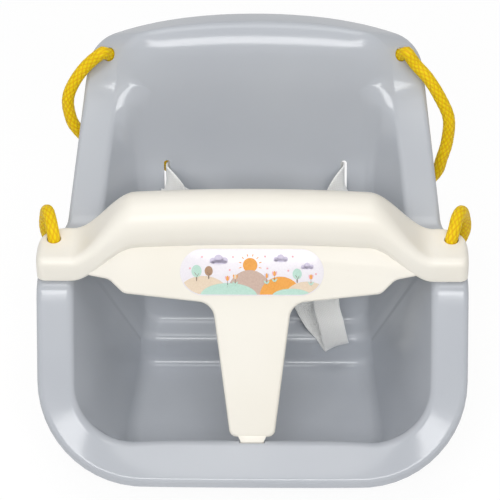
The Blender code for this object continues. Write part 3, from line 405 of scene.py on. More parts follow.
def cylinder_rings(centre: Vector, axis: Vector, radius: float, low: float, high: float) -> list[Points]:
    """The two end rings of a cylinder from low to high along its axis."""
    return [disc(centre, axis, radius, rise, 40) for rise in (low, high)]


def cut(mesh: Mesh, tools: Sequence[Mesh], operation: str) -> Mesh:
    """Cuts tools out of a mesh or joins them to it.

    Args:
        mesh: The mesh to change.
        tools: Closed meshes, used one after the other.
        operation: DIFFERENCE or UNION.

    Returns:
        The changed mesh.
    """
    for tool in tools:
        body, cutter = link("body", mesh), link("cutter", tool)
        change = body.modifiers.new("cut", "BOOLEAN")
        change.operation = operation
        change.object = cutter
        change.solver = "EXACT"
        mesh = baked(body)
        bpy.data.objects.remove(cutter, do_unlink=True)
    return mesh


def baked(piece: Piece) -> Mesh:
    """Applies a piece's modifiers.

    Args:
        piece: The piece, which is removed.

    Returns:
        The mesh that it has then.
    """
    bpy.context.view_layer.update()
    depsgraph = bpy.context.evaluated_depsgraph_get()
    mesh = bpy.data.meshes.new_from_object(piece.evaluated_get(depsgraph))
    mesh.name = piece.data.name
    bpy.data.objects.remove(piece, do_unlink=True)
    return mesh


def rounded_edges(mesh: Mesh, width: float, segments: int = 2) -> Mesh:
    """Rounds the sharp edges of a mesh.

    Args:
        mesh: The mesh.
        width: How far from the edge the rounding starts.
        segments: Faces across it.

    Returns:
        The rounded mesh.
    """
    sharp = 40
    piece = link("rounding", mesh)
    bevel = piece.modifiers.new("round", "BEVEL")
    bevel.width = width
    bevel.segments = segments
    bevel.limit_method = "ANGLE"
    bevel.angle_limit = radians(sharp)
    bevel.harden_normals = False
    mesh = baked(piece)
    shade(mesh, sharp)
    return mesh


def swept_mesh(
    name: str,
    rings: Rings,
    around: Sequence[float],
    along: Sequence[float],
    caps: Sequence[float],
    order: int,
) -> Mesh:
    """A smooth skin through rings with both ends closed, and the UV map "lay" for a braid or a weave.

    Args:
        name: Name of the mesh.
        rings: The rings, of as many points each.
        around: First value of the map at each point of a ring, and once more where the ring closes.
        along: Second value of the map at each ring.
        caps: First value of the map at each point of the faces that close the ends.
        order: 1 if the first of those faces runs round as the rings do, or else -1.

    Returns:
        The mesh.
    """
    sides = len(rings[0])
    faces: list[tuple[int, ...]] = []
    marks: list[float] = []
    for row in range(len(rings) - 1):
        low, high = row * sides, (row + 1) * sides
        for step in range(sides):
            after = (step + 1) % sides
            faces.append((low + step, low + after, high + after, high + step))
            here, there = around[step], around[step + 1]
            marks += [here, along[row], there, along[row], there, along[row + 1], here, along[row + 1]]
    for row, turn in ((0, order), (len(rings) - 1, -order)):
        steps = range(sides)[::turn]
        faces.append(tuple(row * sides + step for step in steps))
        for step in steps:
            marks += [caps[step], along[row]]
    mesh = bpy.data.meshes.new(name)
    mesh.from_pydata([tuple(point) for ring in rings for point in ring], [], faces)
    layer = mesh.uv_layers.new(name="lay")
    layer.data.foreach_set("uv", marks)
    mesh.shade_smooth()
    return mesh


def tube_mesh(name: str, line: Points, radius: Callable[[float, float], float], sides: int) -> Mesh:
    """A round tube along a line, with its ends rounded off.

    Its UV map holds the share of the way round and the length along it in metres.

    Args:
        name: Name of the mesh.
        line: Points of the centreline, set out evenly.
        radius: Radius at a share of the way round and a length along the line.
        sides: Points round the tube.

    Returns:
        The tube's mesh.
    """
    total = line_length(line)
    heading = (line[1] - line[0]).normalized()
    across = heading.orthogonal().normalized()
    cap = radius(0.0, 0.0)
    # How far past the line's end each ring of a rounded end lies, and how wide it is, in shares of the radius
    near, far = (0.14, 0.82), (0.22, 0.55)
    stations = [(line[0] - heading * cap * past, 0.0, share) for past, share in (far, near)]
    along = 0.0
    for index, point in enumerate(line):
        if index:
            along += (point - line[index - 1]).length
        stations.append((point, along, 1.0))
    last = (line[-1] - line[-2]).normalized()
    stations += [(line[-1] + last * cap * past, total, share) for past, share in (near, far)]
    rings: list[Points] = []
    for index, (point, length, share) in enumerate(stations):
        before = stations[max(index - 1, 0)][0]
        after = stations[min(index + 1, len(stations) - 1)][0]
        turned = (after - before).normalized()
        across = heading.rotation_difference(turned) @ across
        heading = turned
        side = heading.cross(across)
        ring = []
        for turn in (step / sides for step in range(sides)):
            spoke = across * cos(2 * pi * turn) + side * sin(2 * pi * turn)
            ring.append(point + spoke * (share * radius(turn, length)))
        rings.append(ring)
    around = [step / sides for step in range(sides + 1)]
    return swept_mesh(name, rings, around, [length for _, length, _ in stations], [0.5] * sides, -1)


# Nodes
def linear(hex_colour: str) -> tuple[float, float, float, float]:
    """Linear colour of an sRGB colour.

    Args:
        hex_colour: The colour as # and six hex digits.

    Returns:
        Red, green, blue and an alpha of 1.
    """
    shares = [int(hex_colour[place : place + 2], 16) / 255 for place in (1, 3, 5)]
    parts = [share / 12.92 if share <= 0.04045 else ((share + 0.055) / 1.055) ** 2.4 for share in shares]
    return (parts[0], parts[1], parts[2], 1.0)


def add_node(
    tree: Tree,
    kind: str,
    inputs: Mapping[str | int, Any] | Sequence[Any] = (),
    out: str | int = 0,
    **settings: Any,
) -> Socket:
    """Adds a node with its settings and links.

    Args:
        tree: The tree that takes the node.
        kind: The node's type, without ShaderNode in front.
        inputs: What goes into its inputs, a value or a socket each, in order or by name or place.
        out: The output that is wanted, by name or place.
        **settings: Values of the node's own properties.

    Returns:
        The output.
    """
    node = tree.nodes.new("ShaderNode" + kind)
    for key, value in settings.items():
        setattr(node, key, value)
    fill(node, inputs if isinstance(inputs, Mapping) else dict(enumerate(inputs)))
    return node.outputs[out]


def fill(node: bpy.types.Node, inputs: Mapping[str | int, Any]) -> None:
    """Sets or links a node's inputs.

    Args:
        node: The node.
        inputs: A value or a socket for each, by name or place.
    """
    for key, value in inputs.items():
        if isinstance(value, Socket):
            node.id_data.links.new(value, node.inputs[key])
        else:
            node.inputs[key].default_value = value


def per_metre(size_mm: float) -> float:
    """The Scale of a noise whose grain is so many millimetres wide, on coordinates in metres."""
    return 1000 / size_mm


def two_tone(tree: Tree, value: Socket, low: float, high: float, colours: tuple[str, str]) -> Socket:
    """Blends two colours by a value.

    Args:
        tree: The tree that takes the nodes.
        value: The value to go by.
        low: Where it gives the first colour alone.
        high: Where it gives the second colour alone.
        colours: Both colours, as sRGB.

    Returns:
        The blended colour.
    """
    share = add_node(tree, "MapRange", (value, low, high, 0.0, 1.0))
    inputs = {0: share, 6: linear(colours[0]), 7: linear(colours[1])}
    return add_node(tree, "Mix", inputs, 2, data_type="RGBA")


def start_material(name: str) -> tuple[Material, Tree, bpy.types.Node]:
    """Starts a material.

    Args:
        name: Its name.

    Returns:
        The material, its node tree and its surface shader.
    """
    material = bpy.data.materials.new(name)
    material.use_nodes = True
    return material, material.node_tree, material.node_tree.nodes["Principled BSDF"]


# Finishes
@dataclass(frozen=True)
class MouldedPlastic:
    """Injection-moulded plastic: even colour, a texture from the mould, and light handling marks."""

    name: str
    colour: str
    rubbed: str
    roughness: float
    scuffed_roughness: float
    grain_mm: float
    grain_depth: float
    sink_depth: float
    flow_mm: float = 111.1
    scuff_mm: float = 6.25
    sink_mm: float = 71.43
    ior: float = 1.49

    def build(self) -> Material:
        """Makes the material.

        Returns:
            The material.
        """
        material, tree, shader = start_material(self.name)
        place = add_node(tree, "TexCoord", out="Object")
        flow = add_node(tree, "TexNoise", {"Vector": place, "Scale": per_metre(self.flow_mm), "Detail": 2.0})
        # Rubbed patches where the seat is handled
        marks = {"Vector": place, "Scale": per_metre(self.scuff_mm), "Detail": 6.0, "Roughness": 0.7}
        scuffs = add_node(tree, "TexNoise", marks)
        colour = two_tone(tree, flow, 0.3, 0.7, (self.colour, self.rubbed))
        rough = add_node(tree, "MapRange", (scuffs, 0.56, 0.74, self.roughness, self.scuffed_roughness))
        # The mould's texture, drawn coarser than the real one so that it shows
        texture = {"Vector": place, "Scale": per_metre(self.grain_mm), "Detail": 2.0}
        grain = add_node(tree, "TexNoise", texture)
        normal = add_node(tree, "Bump", {"Height": grain, "Distance": self.grain_depth})
        # Slow waves where thick parts of the moulding have sunk
        sinks = add_node(tree, "TexNoise", {"Vector": place, "Scale": per_metre(self.sink_mm), "Detail": 1.0})
        normal = add_node(tree, "Bump", {"Height": sinks, "Distance": self.sink_depth, "Normal": normal})
        fill(shader, {"Base Color": colour, "Roughness": rough, "Normal": normal, "IOR": self.ior})
        return material


@dataclass(frozen=True)
class PrintedInk:
    """One ink of the printed vinyl label, under a thin clear film."""

    name: str
    colour: str
    faded: str
    mottle_mm: float = 1.5385
    ripple_mm: float = 11.11
    ripple_depth: float = 0.00006
    roughness: tuple[float, float] = (0.34, 0.42)
    ior: float = 1.53

    def build(self) -> Material:
        """Makes the material.

        Returns:
            The material.
        """
        material, tree, shader = start_material(self.name)
        place = add_node(tree, "TexCoord", out="Object")
        # Paper-like mottle of a printed film
        fibres = {"Vector": place, "Scale": per_metre(self.mottle_mm), "Detail": 3.0}
        mottle = add_node(tree, "TexNoise", fibres)
        colour = two_tone(tree, mottle, 0.35, 0.7, (self.colour, self.faded))
        # The film lies in faint ripples where it was smoothed down
        waves = {"Vector": place, "Scale": per_metre(self.ripple_mm), "Detail": 1.0}
        ripple = add_node(tree, "TexNoise", waves)
        normal = add_node(tree, "Bump", {"Height": ripple, "Distance": self.ripple_depth})
        rough = add_node(tree, "MapRange", (mottle, 0.3, 0.7, *self.roughness))
        fill(shader, {"Base Color": colour, "Roughness": rough, "Normal": normal, "IOR": self.ior})
        fill(shader, {"Coat Weight": 0.35, "Coat Roughness": 0.12})
        return material


@dataclass(frozen=True)
class BraidedRope:
    """Braided polypropylene rope: bundles of filaments over and under each other, with fine fibres."""

    name: str
    crown: str
    valley: str
    cells: int
    lay: float
    relief: float
    filaments: int = 7
    width_power: float = 0.6
    length_power: float = 0.3
    fibre_mm: float = 1.4286
    fading_mm: float = 26.316
    bump: float = 0.0006
    roughness: tuple[float, float] = (0.42, 0.56)
    ior: float = 1.49

    def height(self, around: float, along: float) -> float:
        """Height of the braid, from 0 in a hollow between strands to 1 on a crown.

        Args:
            around: Share of the way round the rope.
            along: Length along it in metres.

        Returns:
            The height, as the material's nodes work it out.
        """
        rising, falling = around * self.cells + along / self.lay, around * self.cells - along / self.lay
        ridges = [2 * abs(turn - floor(turn + 0.5)) for turn in (falling, rising)]
        over = (floor(rising) + floor(falling)) % 2
        return ridges[over] ** self.width_power * ridges[1 - over] ** self.length_power

    def build(self) -> Material:
        """Makes the material.

        Returns:
            The material.
        """
        material, tree, shader = start_material(self.name)
        marks = add_node(tree, "UVMap", uv_map="lay")
        place = add_node(tree, "TexCoord", out="Object")
        turns, ridges, threads = [], [], []
        for slant in (-1 / self.lay, 1 / self.lay):
            turn = add_node(tree, "VectorMath", (marks, (self.cells, slant, 0)), 1, operation="DOT_PRODUCT")
            ridge = add_node(tree, "Math", (turn, 0.5), operation="PINGPONG")
            turns.append(add_node(tree, "Math", (turn,), operation="FLOOR"))
            ridges.append(add_node(tree, "Math", (ridge, 2.0), operation="MULTIPLY"))
            # Filaments lie along each strand, drawn coarser than the real ones so that they show
            fine = add_node(tree, "Math", (turn, float(self.filaments)), operation="MULTIPLY")
            threads.append(add_node(tree, "Math", (fine, 0.5), operation="PINGPONG"))
        cell = add_node(tree, "Math", turns, operation="ADD")
        over = add_node(tree, "Math", (cell, 1.0), operation="PINGPONG")
        wide = add_node(tree, "Mix", {0: over, 2: ridges[0], 3: ridges[1]})
        long = add_node(tree, "Mix", {0: over, 2: ridges[1], 3: ridges[0]})
        thread = add_node(tree, "Mix", {0: over, 2: threads[0], 3: threads[1]})
        wide = add_node(tree, "Math", (wide, self.width_power), operation="POWER")
        long = add_node(tree, "Math", (long, self.length_power), operation="POWER")
        crown = add_node(tree, "Math", (wide, long), operation="MULTIPLY")
        # Fuzz of broken fibres, drawn coarser than the real ones so that it shows
        fuzz = add_node(tree, "TexNoise", {"Vector": place, "Scale": per_metre(self.fibre_mm), "Detail": 4.0})
        fading = {"Vector": place, "Scale": per_metre(self.fading_mm), "Detail": 2.0}
        faded = add_node(tree, "TexNoise", fading)
        relief = add_node(tree, "Math", (thread, 0.35, crown), operation="MULTIPLY_ADD")
        relief = add_node(tree, "Math", (fuzz, 0.25, relief), operation="MULTIPLY_ADD")
        normal = add_node(tree, "Bump", {"Height": relief, "Distance": self.bump})
        shade_and_fading = add_node(tree, "Math", (fuzz, 0.4, crown), operation="MULTIPLY_ADD")
        shade_and_fading = add_node(tree, "Math", (faded, 0.3, shade_and_fading), operation="MULTIPLY_ADD")
        # The valley colour darkens the braid's hollows as painted shade; fuzz and slow fading vary the tone
        # at random
        colour = two_tone(tree, shade_and_fading, 0.45, 1.15, (self.valley, self.crown))
        rough = add_node(tree, "MapRange", (fuzz, 0.3, 0.7, *self.roughness))
        fill(shader, {"Base Color": colour, "Roughness": rough, "Normal": normal, "IOR": self.ior})
        # Loose fibres break up the clear reflection and carry the rope's own colour to its edges
        fill(shader, {"Specular IOR Level": 0.3, "Sheen Weight": 0.35, "Sheen Roughness": 0.4})
        fill(shader, {"Sheen Tint": linear(self.crown)})
        return material


@dataclass(frozen=True)
class WovenWebbing:
    """Woven polypropylene webbing: lines of warp with the weft between them, set off by half a thread."""

    name: str
    thread: str
    gap: str
    warp: float
    weft: float
    fibre_mm: float = 1.111
    bump: float = 0.0006
    roughness: tuple[float, float] = (0.55, 0.75)
    ior: float = 1.49

    def build(self) -> Material:
        """Makes the material.

        Returns:
            The material.
        """
        material, tree, shader = start_material(self.name)
        marks = add_node(tree, "UVMap", uv_map="lay")
        place = add_node(tree, "TexCoord", out="Object")
        across = add_node(tree, "VectorMath", (marks, (1 / self.warp, 0, 0)), 1, operation="DOT_PRODUCT")
        row = add_node(tree, "Math", (across,), operation="FLOOR")
        along = add_node(tree, "VectorMath", (marks, (0, 1 / self.weft, 0)), 1, operation="DOT_PRODUCT")
        # Every second warp line is set half a weft along, which gives the slanting look of a twill
        along = add_node(tree, "Math", (row, 0.5, along), operation="MULTIPLY_ADD")
        crests = []
        for turn in (across, along):
            crest = add_node(tree, "Math", (turn, 0.5), operation="PINGPONG")
            crests.append(add_node(tree, "Math", (crest, 0.5), operation="POWER"))
        height = add_node(tree, "Math", crests, operation="MULTIPLY")
        # Fuzz of the yarn, drawn coarser than its real fibres so that it shows
        fuzz = add_node(tree, "TexNoise", {"Vector": place, "Scale": per_metre(self.fibre_mm), "Detail": 3.0})
        relief = add_node(tree, "Math", (fuzz, 0.15, height), operation="MULTIPLY_ADD")
        normal = add_node(tree, "Bump", {"Height": relief, "Distance": self.bump})
        # The gap colour darkens the hollows between threads as painted shade; the threads keep the webbing's
        # own white
        colour = two_tone(tree, relief, 0.1, 0.5, (self.gap, self.thread))
        rough = add_node(tree, "MapRange", (fuzz, 0.3, 0.7, *self.roughness))
        fill(shader, {"Base Color": colour, "Roughness": rough, "Normal": normal, "IOR": self.ior})
        # Light that passes through the thin yarn brightens the side that is turned from the lamps
        fill(shader, {"Sheen Weight": 0.35, "Sheen Roughness": 0.4, "Subsurface Weight": 0.4})
        fill(shader, {"Subsurface Radius": (1.0, 1.0, 1.0), "Subsurface Scale": 0.0015})
        return material


@dataclass(frozen=True)
class HookAndLoop:
    """Nylon hook-and-loop strap: a dull pile of tiny loops."""

    name: str
    pile: str
    ground: str
    loop_mm: float = 0.625
    tuft_mm: float = 2.857
    bump: float = 0.0004
    roughness: tuple[float, float] = (0.75, 0.95)
    ior: float = 1.53

    def build(self) -> Material:
        """Makes the material.

        Returns:
            The material.
        """
        material, tree, shader = start_material(self.name)
        place = add_node(tree, "TexCoord", out="Object")
        loops = add_node(tree, "TexVoronoi", {"Vector": place, "Scale": per_metre(self.loop_mm)})
        # Loops lean together in tufts where the strap was pressed down
        tufts = add_node(tree, "TexNoise", {"Vector": place, "Scale": per_metre(self.tuft_mm), "Detail": 4.0})
        colour = two_tone(tree, tufts, 0.35, 0.7, (self.ground, self.pile))
        relief = add_node(tree, "Math", (loops, tufts), operation="ADD")
        normal = add_node(tree, "Bump", {"Height": relief, "Distance": self.bump})
        rough = add_node(tree, "MapRange", (tufts, 0.3, 0.7, *self.roughness))
        fill(shader, {"Base Color": colour, "Roughness": rough, "Normal": normal, "IOR": self.ior})
        return material


@dataclass(frozen=True)
class Palette:
    """Every finish of the seat, made once and shared by its pieces."""

    # Injection-moulded polypropylene from a polished mould: soft clear reflections, slight sink waves
    shell: MouldedPlastic = MouldedPlastic(
        "injection_moulded_polypropylene_grey", "#BEC2C8", "#B9BDC4", 0.15, 0.18, 1.6, 0.000003, 0.0004
    )
    # Injection-moulded polypropylene from a satin mould: broad soft highlights
    bar: MouldedPlastic = MouldedPlastic(
        "injection_moulded_polypropylene_cream", "#F8F4EA", "#F5F0E4", 0.36, 0.42, 1.2, 0.00001, 0.0002
    )
    # Acetal moulded in a spark-eroded mould: matt with an even grain, drawn at 0.9 mm so that it shows
    buckle: MouldedPlastic = MouldedPlastic(
        "injection_moulded_acetal_white", "#E9E9E4", "#E1E1DB", 0.42, 0.5, 0.9, 0.00004, 0.00005
    )
    # Sixteen-strand braid: eight crowns round the rope, one every 7.5 mm along it
    # Its darker second colour is painted shade in the braid's hollows
    rope: BraidedRope = BraidedRope(
        "braided_polypropylene_rope_yellow", "#FFDE00", "#F2B800", 8, 0.0075, 0.00025
    )
    # Threads drawn 1.6 mm by 2.2 mm, about twice as coarse as the real ones, so that they show
    # Its darker second colour is painted shade between the threads
    belt: WovenWebbing = WovenWebbing(
        "woven_polypropylene_webbing_white", "#FFFFFD", "#F0F0EC", 0.0016, 0.0022
    )
    # Nylon loop pile, brushed: dull and almost without a highlight
    tie: HookAndLoop = HookAndLoop("hook_and_loop_nylon_black", "#2E2E31", "#18181A")

    def build(self) -> dict[str, Material]:
        """Makes every material.

        Returns:
            The materials by the names of this class's fields.
        """
        return {entry.name: getattr(self, entry.name).build() for entry in fields(self)}


# Back panel
@dataclass(frozen=True)
class BackPanel:
    """The back's flat front face, which the belt and buckle are set against."""

    lean: float = radians(15)
    bottom: float = SEAT_DEPTH - 0.127

    @property
    def up(self) -> Vector:
        """Direction up the face."""
        return Vector((0, sin(self.lean), cos(self.lean)))

    @property
    def out(self) -> Vector:
        """Direction off the face, towards the child."""
        return Vector((0, -cos(self.lean), sin(self.lean)))

    def line(self, height: float) -> float:
        """How far back the face lies at a height."""
        return self.bottom + height * tan(self.lean)

    def point(self, x: float, height: float, off: float) -> Vector:
        """The point off the face at a height measured on it."""
        return Vector((x, self.line(height), height)) + self.out * off

    def sloping(self, slope: float) -> tuple[Vector, Vector]:
        """Directions on the face, at a slope down to the right and across that."""
        x, y = Vector((cos(slope), 0, 0)), Vector((sin(slope), 0, 0))
        return x - self.up * sin(slope), y + self.up * cos(slope)


BACK = BackPanel()


@dataclass(frozen=True)
class RopeHoles:
    """Where the right rope passes through the bar's end and through the wing's rim."""

    radius: float = 0.0066
    front: Vector = field(default_factory=lambda: Vector((0.181, 0.145, 0.190)))
    rear: Vector = field(default_factory=lambda: Vector((0.13832, 0.31569, 0.29997)))
    # Direction along the hole in the wing, towards the rope's free stretch
    rear_out: Vector = field(default_factory=lambda: Vector((0.48141, -0.59941, 0.6395)))


HOLES = RopeHoles()


@dataclass(frozen=True)
class BeltSlots:
    """Where the belt passes through the back, on both sides of its middle."""

    x: float = 0.085
    height: float = 0.188
    half_length: float = 0.016
    half_width: float = 0.003


SLOTS = BeltSlots()


# Seat shell
@dataclass
class SeatShell:
    """The moulded bucket: a rolled rim all round, tapering walls, a pan, a ledge and a leaning back."""

    rim_half_width: float = 0.1965
    rim_width: float = 0.0325
    front_height: float = 0.0495
    front_depth: float = 0.038
    front_rise: float = 0.0195
    front_bow: float = 0.012
    armrest_height: float = 0.190
    armrest_start: float = 0.113
    armrest_end: float = 0.168
    lip_height: float = 0.0085
    outer_roll: float = 0.0055
    inner_roll: float = 0.009
    foot_fillet: float = 0.020
    foot_reach: float = 0.013
    tongue_slot_reach: float = 0.0116
    tongue_slot_half: float = 0.0033
    tongue_slot_set_in: float = 0.0018
    tongue_slot_depth: float = 0.0163
    wing_half_width: float = 0.1755
    wing_start: float = 0.196
    wing_top_half_width: float = 0.156
    wing_top_inner: float = 0.122
    wing_top: tuple[float, float] = (0.335, 0.302)
    wing_bend_share: float = 0.74
    wing_bulge: float = 0.001
    top_height: float = 0.325
    top_depth: float = 0.027
    top_rise: float = 0.007
    top_crown: float = 0.011
    top_corner: float = 0.006
    top_chamfer: float = 0.015
    back_half_width: float = 0.112
    pan_half_width: float = 0.122
    pan_start: float = 0.060
    ledge_start: float = 0.206
    ledge_height: float = 0.036
    pan_edge: float = 0.024
    pan_taper: float = 0.010
    ledge_taper: float = 0.004
    shoulder_drop: float = 0.026
    # Radii of each ring's corners: front, the armrest's two ends, the wing's start, its bend and its top
    outer_radii: tuple[float, ...] = (0.105, 0.020, 0.020, 0.020, 0.600, 0.035)
    inner_radii: tuple[float, ...] = (0.050, 0.020, 0.020, 0.020, 0.050, 0.035)
    foot_radii: tuple[float, ...] = (0.045, 0.008, 0.008, 0.008, 0.050, 0.035)
    run_steps: tuple[int, ...] = (12, 6, 5, 3, 9, 4, 12)
    arc_steps: tuple[int, ...] = (12, 5, 5, 5, 5, 12)
    roll_steps: int = 6

    def half_ring(
        self, front: tuple[float, float], corners: Points, radii: Sequence[float], back: tuple[float, float]
    ) -> Points:
        """One half of a ring round the seat.

        Args:
            front: The ring's y and z in the middle of the front.
            corners: The corners between front and back.
            radii: Radius of each corner.
            back: The ring's y and z in the middle of the back.

        Returns:
            The points from the middle of the front to the middle of the back.
        """
        start = Vector((0, *front))
        end = Vector((0, *back))
        bends = [Vector((corners[0].x / 2, *front)), *corners, Vector((corners[-1].x / 2, *back))]
        arcs = [
            corner_arc(bends[place], bends[place + 1], bends[place + 2], radii[place], self.arc_steps[place])
            for place in range(len(corners))
        ]
        points = [start] + bezier(start, bends[0], arcs[0][0], self.run_steps[0])[:-1]
        for place, arc in enumerate(arcs[:-1]):
            points += arc
            points += straight(arc[-1], arcs[place + 1][0], self.run_steps[place + 1])[:-1]
        return points + arcs[-1] + bezier(arcs[-1][-1], bends[-1], end, self.run_steps[-1])

    def wing_point(self, low_half_width: float, high_half_width: float, share: float) -> Vector:
        """A point of a wing's rim.

        Args:
            low_half_width: How far from the middle it is where the wing starts.
            high_half_width: How far from the middle its top corner is.
            share: Where the point lies between the two.

        Returns:
            The point.
        """
        return Vector((
            between(low_half_width, high_half_width, share),
            between(self.wing_start, self.wing_top[0], share),
            between(self.armrest_height, self.wing_top[1], share),
        ))

    def slope_y(self, height: float) -> float:
        """How far back the sloping side rim lies at a height."""
        share = (height - self.front_height) / (self.armrest_height - self.front_height)
        return between(self.front_bow, self.armrest_start, share)

    def outer_ring(self) -> Points:
        """The corner where the rim turns down into its lip.

        Returns:
            Its right half.
        """
        half, low, high = self.rim_half_width, self.wing_half_width, self.wing_top_half_width
        corners = [
            Vector((half, self.front_bow, self.front_height)),
            Vector((half, self.armrest_start, self.armrest_height)),
            Vector((half, self.armrest_end, self.armrest_height)),
            self.wing_point(low, high, 0),
            self.wing_point(low + self.wing_bulge, high + self.wing_bulge, self.wing_bend_share),
            self.wing_point(low, high, 1),
        ]
        front, back = (0, self.front_height), (SEAT_DEPTH, self.top_height)
        return self.half_ring(front, corners, self.outer_radii, back)

    def inner_ring(self) -> Points:
        """The corner where the rim turns down into the seat.

        Returns:
            Its right half.
        """
        half = self.rim_half_width - self.rim_width
        low, high = self.wing_half_width - self.rim_width, self.wing_top_inner
        height = self.front_height + self.front_rise
        depth, top = SEAT_DEPTH - self.top_depth, self.top_height + self.top_rise
        corners = [
            Vector((half, self.slope_y(height) + 0.005, height)),
            Vector((half, self.armrest_start, self.armrest_height)),
            Vector((half, self.armrest_end, self.armrest_height)),
            self.wing_point(low, high, 0) + Vector((0, 0.003, 0)),
            self.wing_point(low, high + self.top_corner, self.wing_bend_share),
            Vector((high, depth - self.top_corner, top - self.top_crown)),
        ]
        return self.half_ring((self.front_depth, height), corners, self.inner_radii, (depth, top))

    def foot_ring(self, edge: float) -> Points:
        """The foot of the walls, on the pan, the ledge and the back.

        Args:
            edge: How far it is moved inwards.

        Returns:
            Its right half.
        """
        top = self.top_height + self.top_rise - self.top_chamfer - edge * cos(BACK.lean)
        corner = top - self.top_crown / 2
        shoulder = corner - self.shoulder_drop
        rear = self.pan_half_width - self.pan_taper - edge
        near, far, height = self.ledge_start, BACK.line(self.ledge_height), self.ledge_height
        half = self.back_half_width - edge
        corners = [
            Vector((self.pan_half_width - edge, self.pan_start + edge, WALL)),
            Vector((rear, near, WALL)),
            Vector((rear - self.ledge_taper, near, height)),
            Vector((rear - self.ledge_taper, far, height)),
            Vector((half, BACK.line(shoulder), shoulder)),
            Vector((half, BACK.line(corner), corner)),
        ]
        return self.half_ring((self.pan_start + edge, WALL), corners, self.foot_radii, (BACK.line(top), top))

    def section(self, outer: Vector, inner: Vector, foot: Vector, sheet: Vector) -> Points:
        """One cut through rim and wall.

        Args:
            outer: The rim's outer corner.
            inner: The rim's inner corner.
            foot: The wall's foot.
            sheet: Where the cut ends on the pan or back.

        Returns:
            Points from the lip's lower edge to that end.
        """
        steps = self.roll_steps
        lip = outer - UP * self.lip_height
        rows = [lip]
        rows += corner_arc(lip, outer, inner, self.outer_roll, steps)
        rows += corner_arc(outer, inner, foot, self.inner_roll, steps)
        opening = (inner - foot).angle(sheet - foot)
        radius = max(self.foot_fillet, self.foot_reach * tan(opening / 2))
        rows += corner_arc(inner, foot, sheet, radius, steps)
        return rows + [sheet]

    def fill_grid(self, bm: bmesh.types.BMesh, ring: Sequence[bmesh.types.BMVert]) -> None:
        """Fills in pan and back with a grid whose four sides meet in rounded corners.

        Args:
            bm: The bmesh that takes it.
            ring: The vertices round it.
        """
        count = len(ring)
        corner = self.run_steps[0] + self.arc_steps[0] // 2
        end = count // 2 - corner
        front = [ring[place % count] for place in range(-corner, corner + 1)]
        right = [ring[place] for place in range(corner, end + 1)]
        back = [ring[place % count] for place in range(count - end, end - 1, -1)]
        left = [ring[place % count] for place in range(count - corner, count - end - 1, -1)]
        across, along = len(front) - 1, len(right) - 1
        blend_rows = 8
        grid = [front]
        for row in range(1, along):
            near_front = max(0.0, 1 - row / blend_rows) ** 2
            near_back = max(0.0, 1 - (along - row) / blend_rows) ** 2
            line = [left[row]]
            for column in range(1, across):
                share = column / across
                front_bow = front[column].co - front[0].co.lerp(front[-1].co, share)
                back_bow = back[column].co - back[0].co.lerp(back[-1].co, share)
                level = left[row].co.lerp(right[row].co, share)
                line.append(bm.verts.new(level + front_bow * near_front + back_bow * near_back))
            grid.append(line + [right[row]])
        grid.append(back)
        for lower, upper in zip(grid, grid[1:]):
            for place in range(across):
                bm.faces.new((lower[place], lower[place + 1], upper[place + 1], upper[place]))

    def skin(self) -> Mesh:
        """The seat's upper surface, one sheet without thickness.

        Returns:
            Its mesh.
        """
        rings = [self.outer_ring(), self.inner_ring(), self.foot_ring(0), self.foot_ring(self.pan_edge)]
        columns = [self.section(*corners) for corners in zip(*rings)]
        left = [mirrored(column, Side.LEFT) for column in columns[1:-1]]
        columns += left[::-1]
        bm = bmesh.new()
        rows = [[bm.verts.new(point) for point in column] for column in columns]
        for place, row in enumerate(rows):
            following = rows[(place + 1) % len(rows)]
            for step in range(len(row) - 1):
                bm.faces.new((row[step], following[step], following[step + 1], row[step + 1]))
        self.fill_grid(bm, [row[-1] for row in rows])
        return finish_mesh("seat_shell_surface", bm)

    def cutters(self) -> Iterable[Rings]:
        """The holes for the ropes, the slots for the belt and the slot for the bar's tongue.

        Returns:
            The rings of each.
        """
        for side in Side:
            mirror = Vector((side.value, 1, 1))
            for hole, axis in ((HOLES.front, UP), (HOLES.rear, HOLES.rear_out)):
                yield cylinder_rings(hole * mirror, axis * mirror, HOLES.radius, -2 * WALL, WALL)
            outline = [
                (side.value * SLOTS.x + across, SLOTS.height + along * cos(BACK.lean))
                for along, across in pill(SLOTS.half_length, SLOTS.half_width, 24)
            ]
            yield [[BACK.point(*place, off) for place in outline] for off in (2 * WALL, -3 * WALL)]
        reach, half = self.tongue_slot_reach, self.tongue_slot_half
        middle, top = self.front_depth - self.tongue_slot_set_in, self.front_height + self.front_rise
        low = top - self.tongue_slot_depth
        yield box_rings((-reach, middle - half, low), (reach, middle + half, top + 3 * WALL))

    def build(self, finishes: Finishes) -> Piece:
        """Builds and dresses the shell.

        Args:
            finishes: The seat's materials.

        Returns:
            The shell.
        """
        mesh = self.skin()
        # A face of the pan tells which side of the sheet is the upper one
        on_pan = Vector((0, (self.pan_start + self.ledge_start) / 2, WALL))
        middle = min(mesh.polygons, key=lambda face: (face.center - on_pan).length)
        piece = link("skin", mesh)
        thicken = piece.modifiers.new("wall", "SOLIDIFY")
        thicken.thickness = WALL
        thicken.offset = -1 if middle.normal.z > 0 else 1
        thicken.use_even_offset = True
        mesh = cut(baked(piece), [lofted("holes", self.cutters())], "DIFFERENCE")
        shade(mesh, 40)
        shell = add_piece("seat_shell_moulding", mesh, [finishes["shell"]])
        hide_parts("seat_shell")
        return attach(shell, Body.SEAT.value)


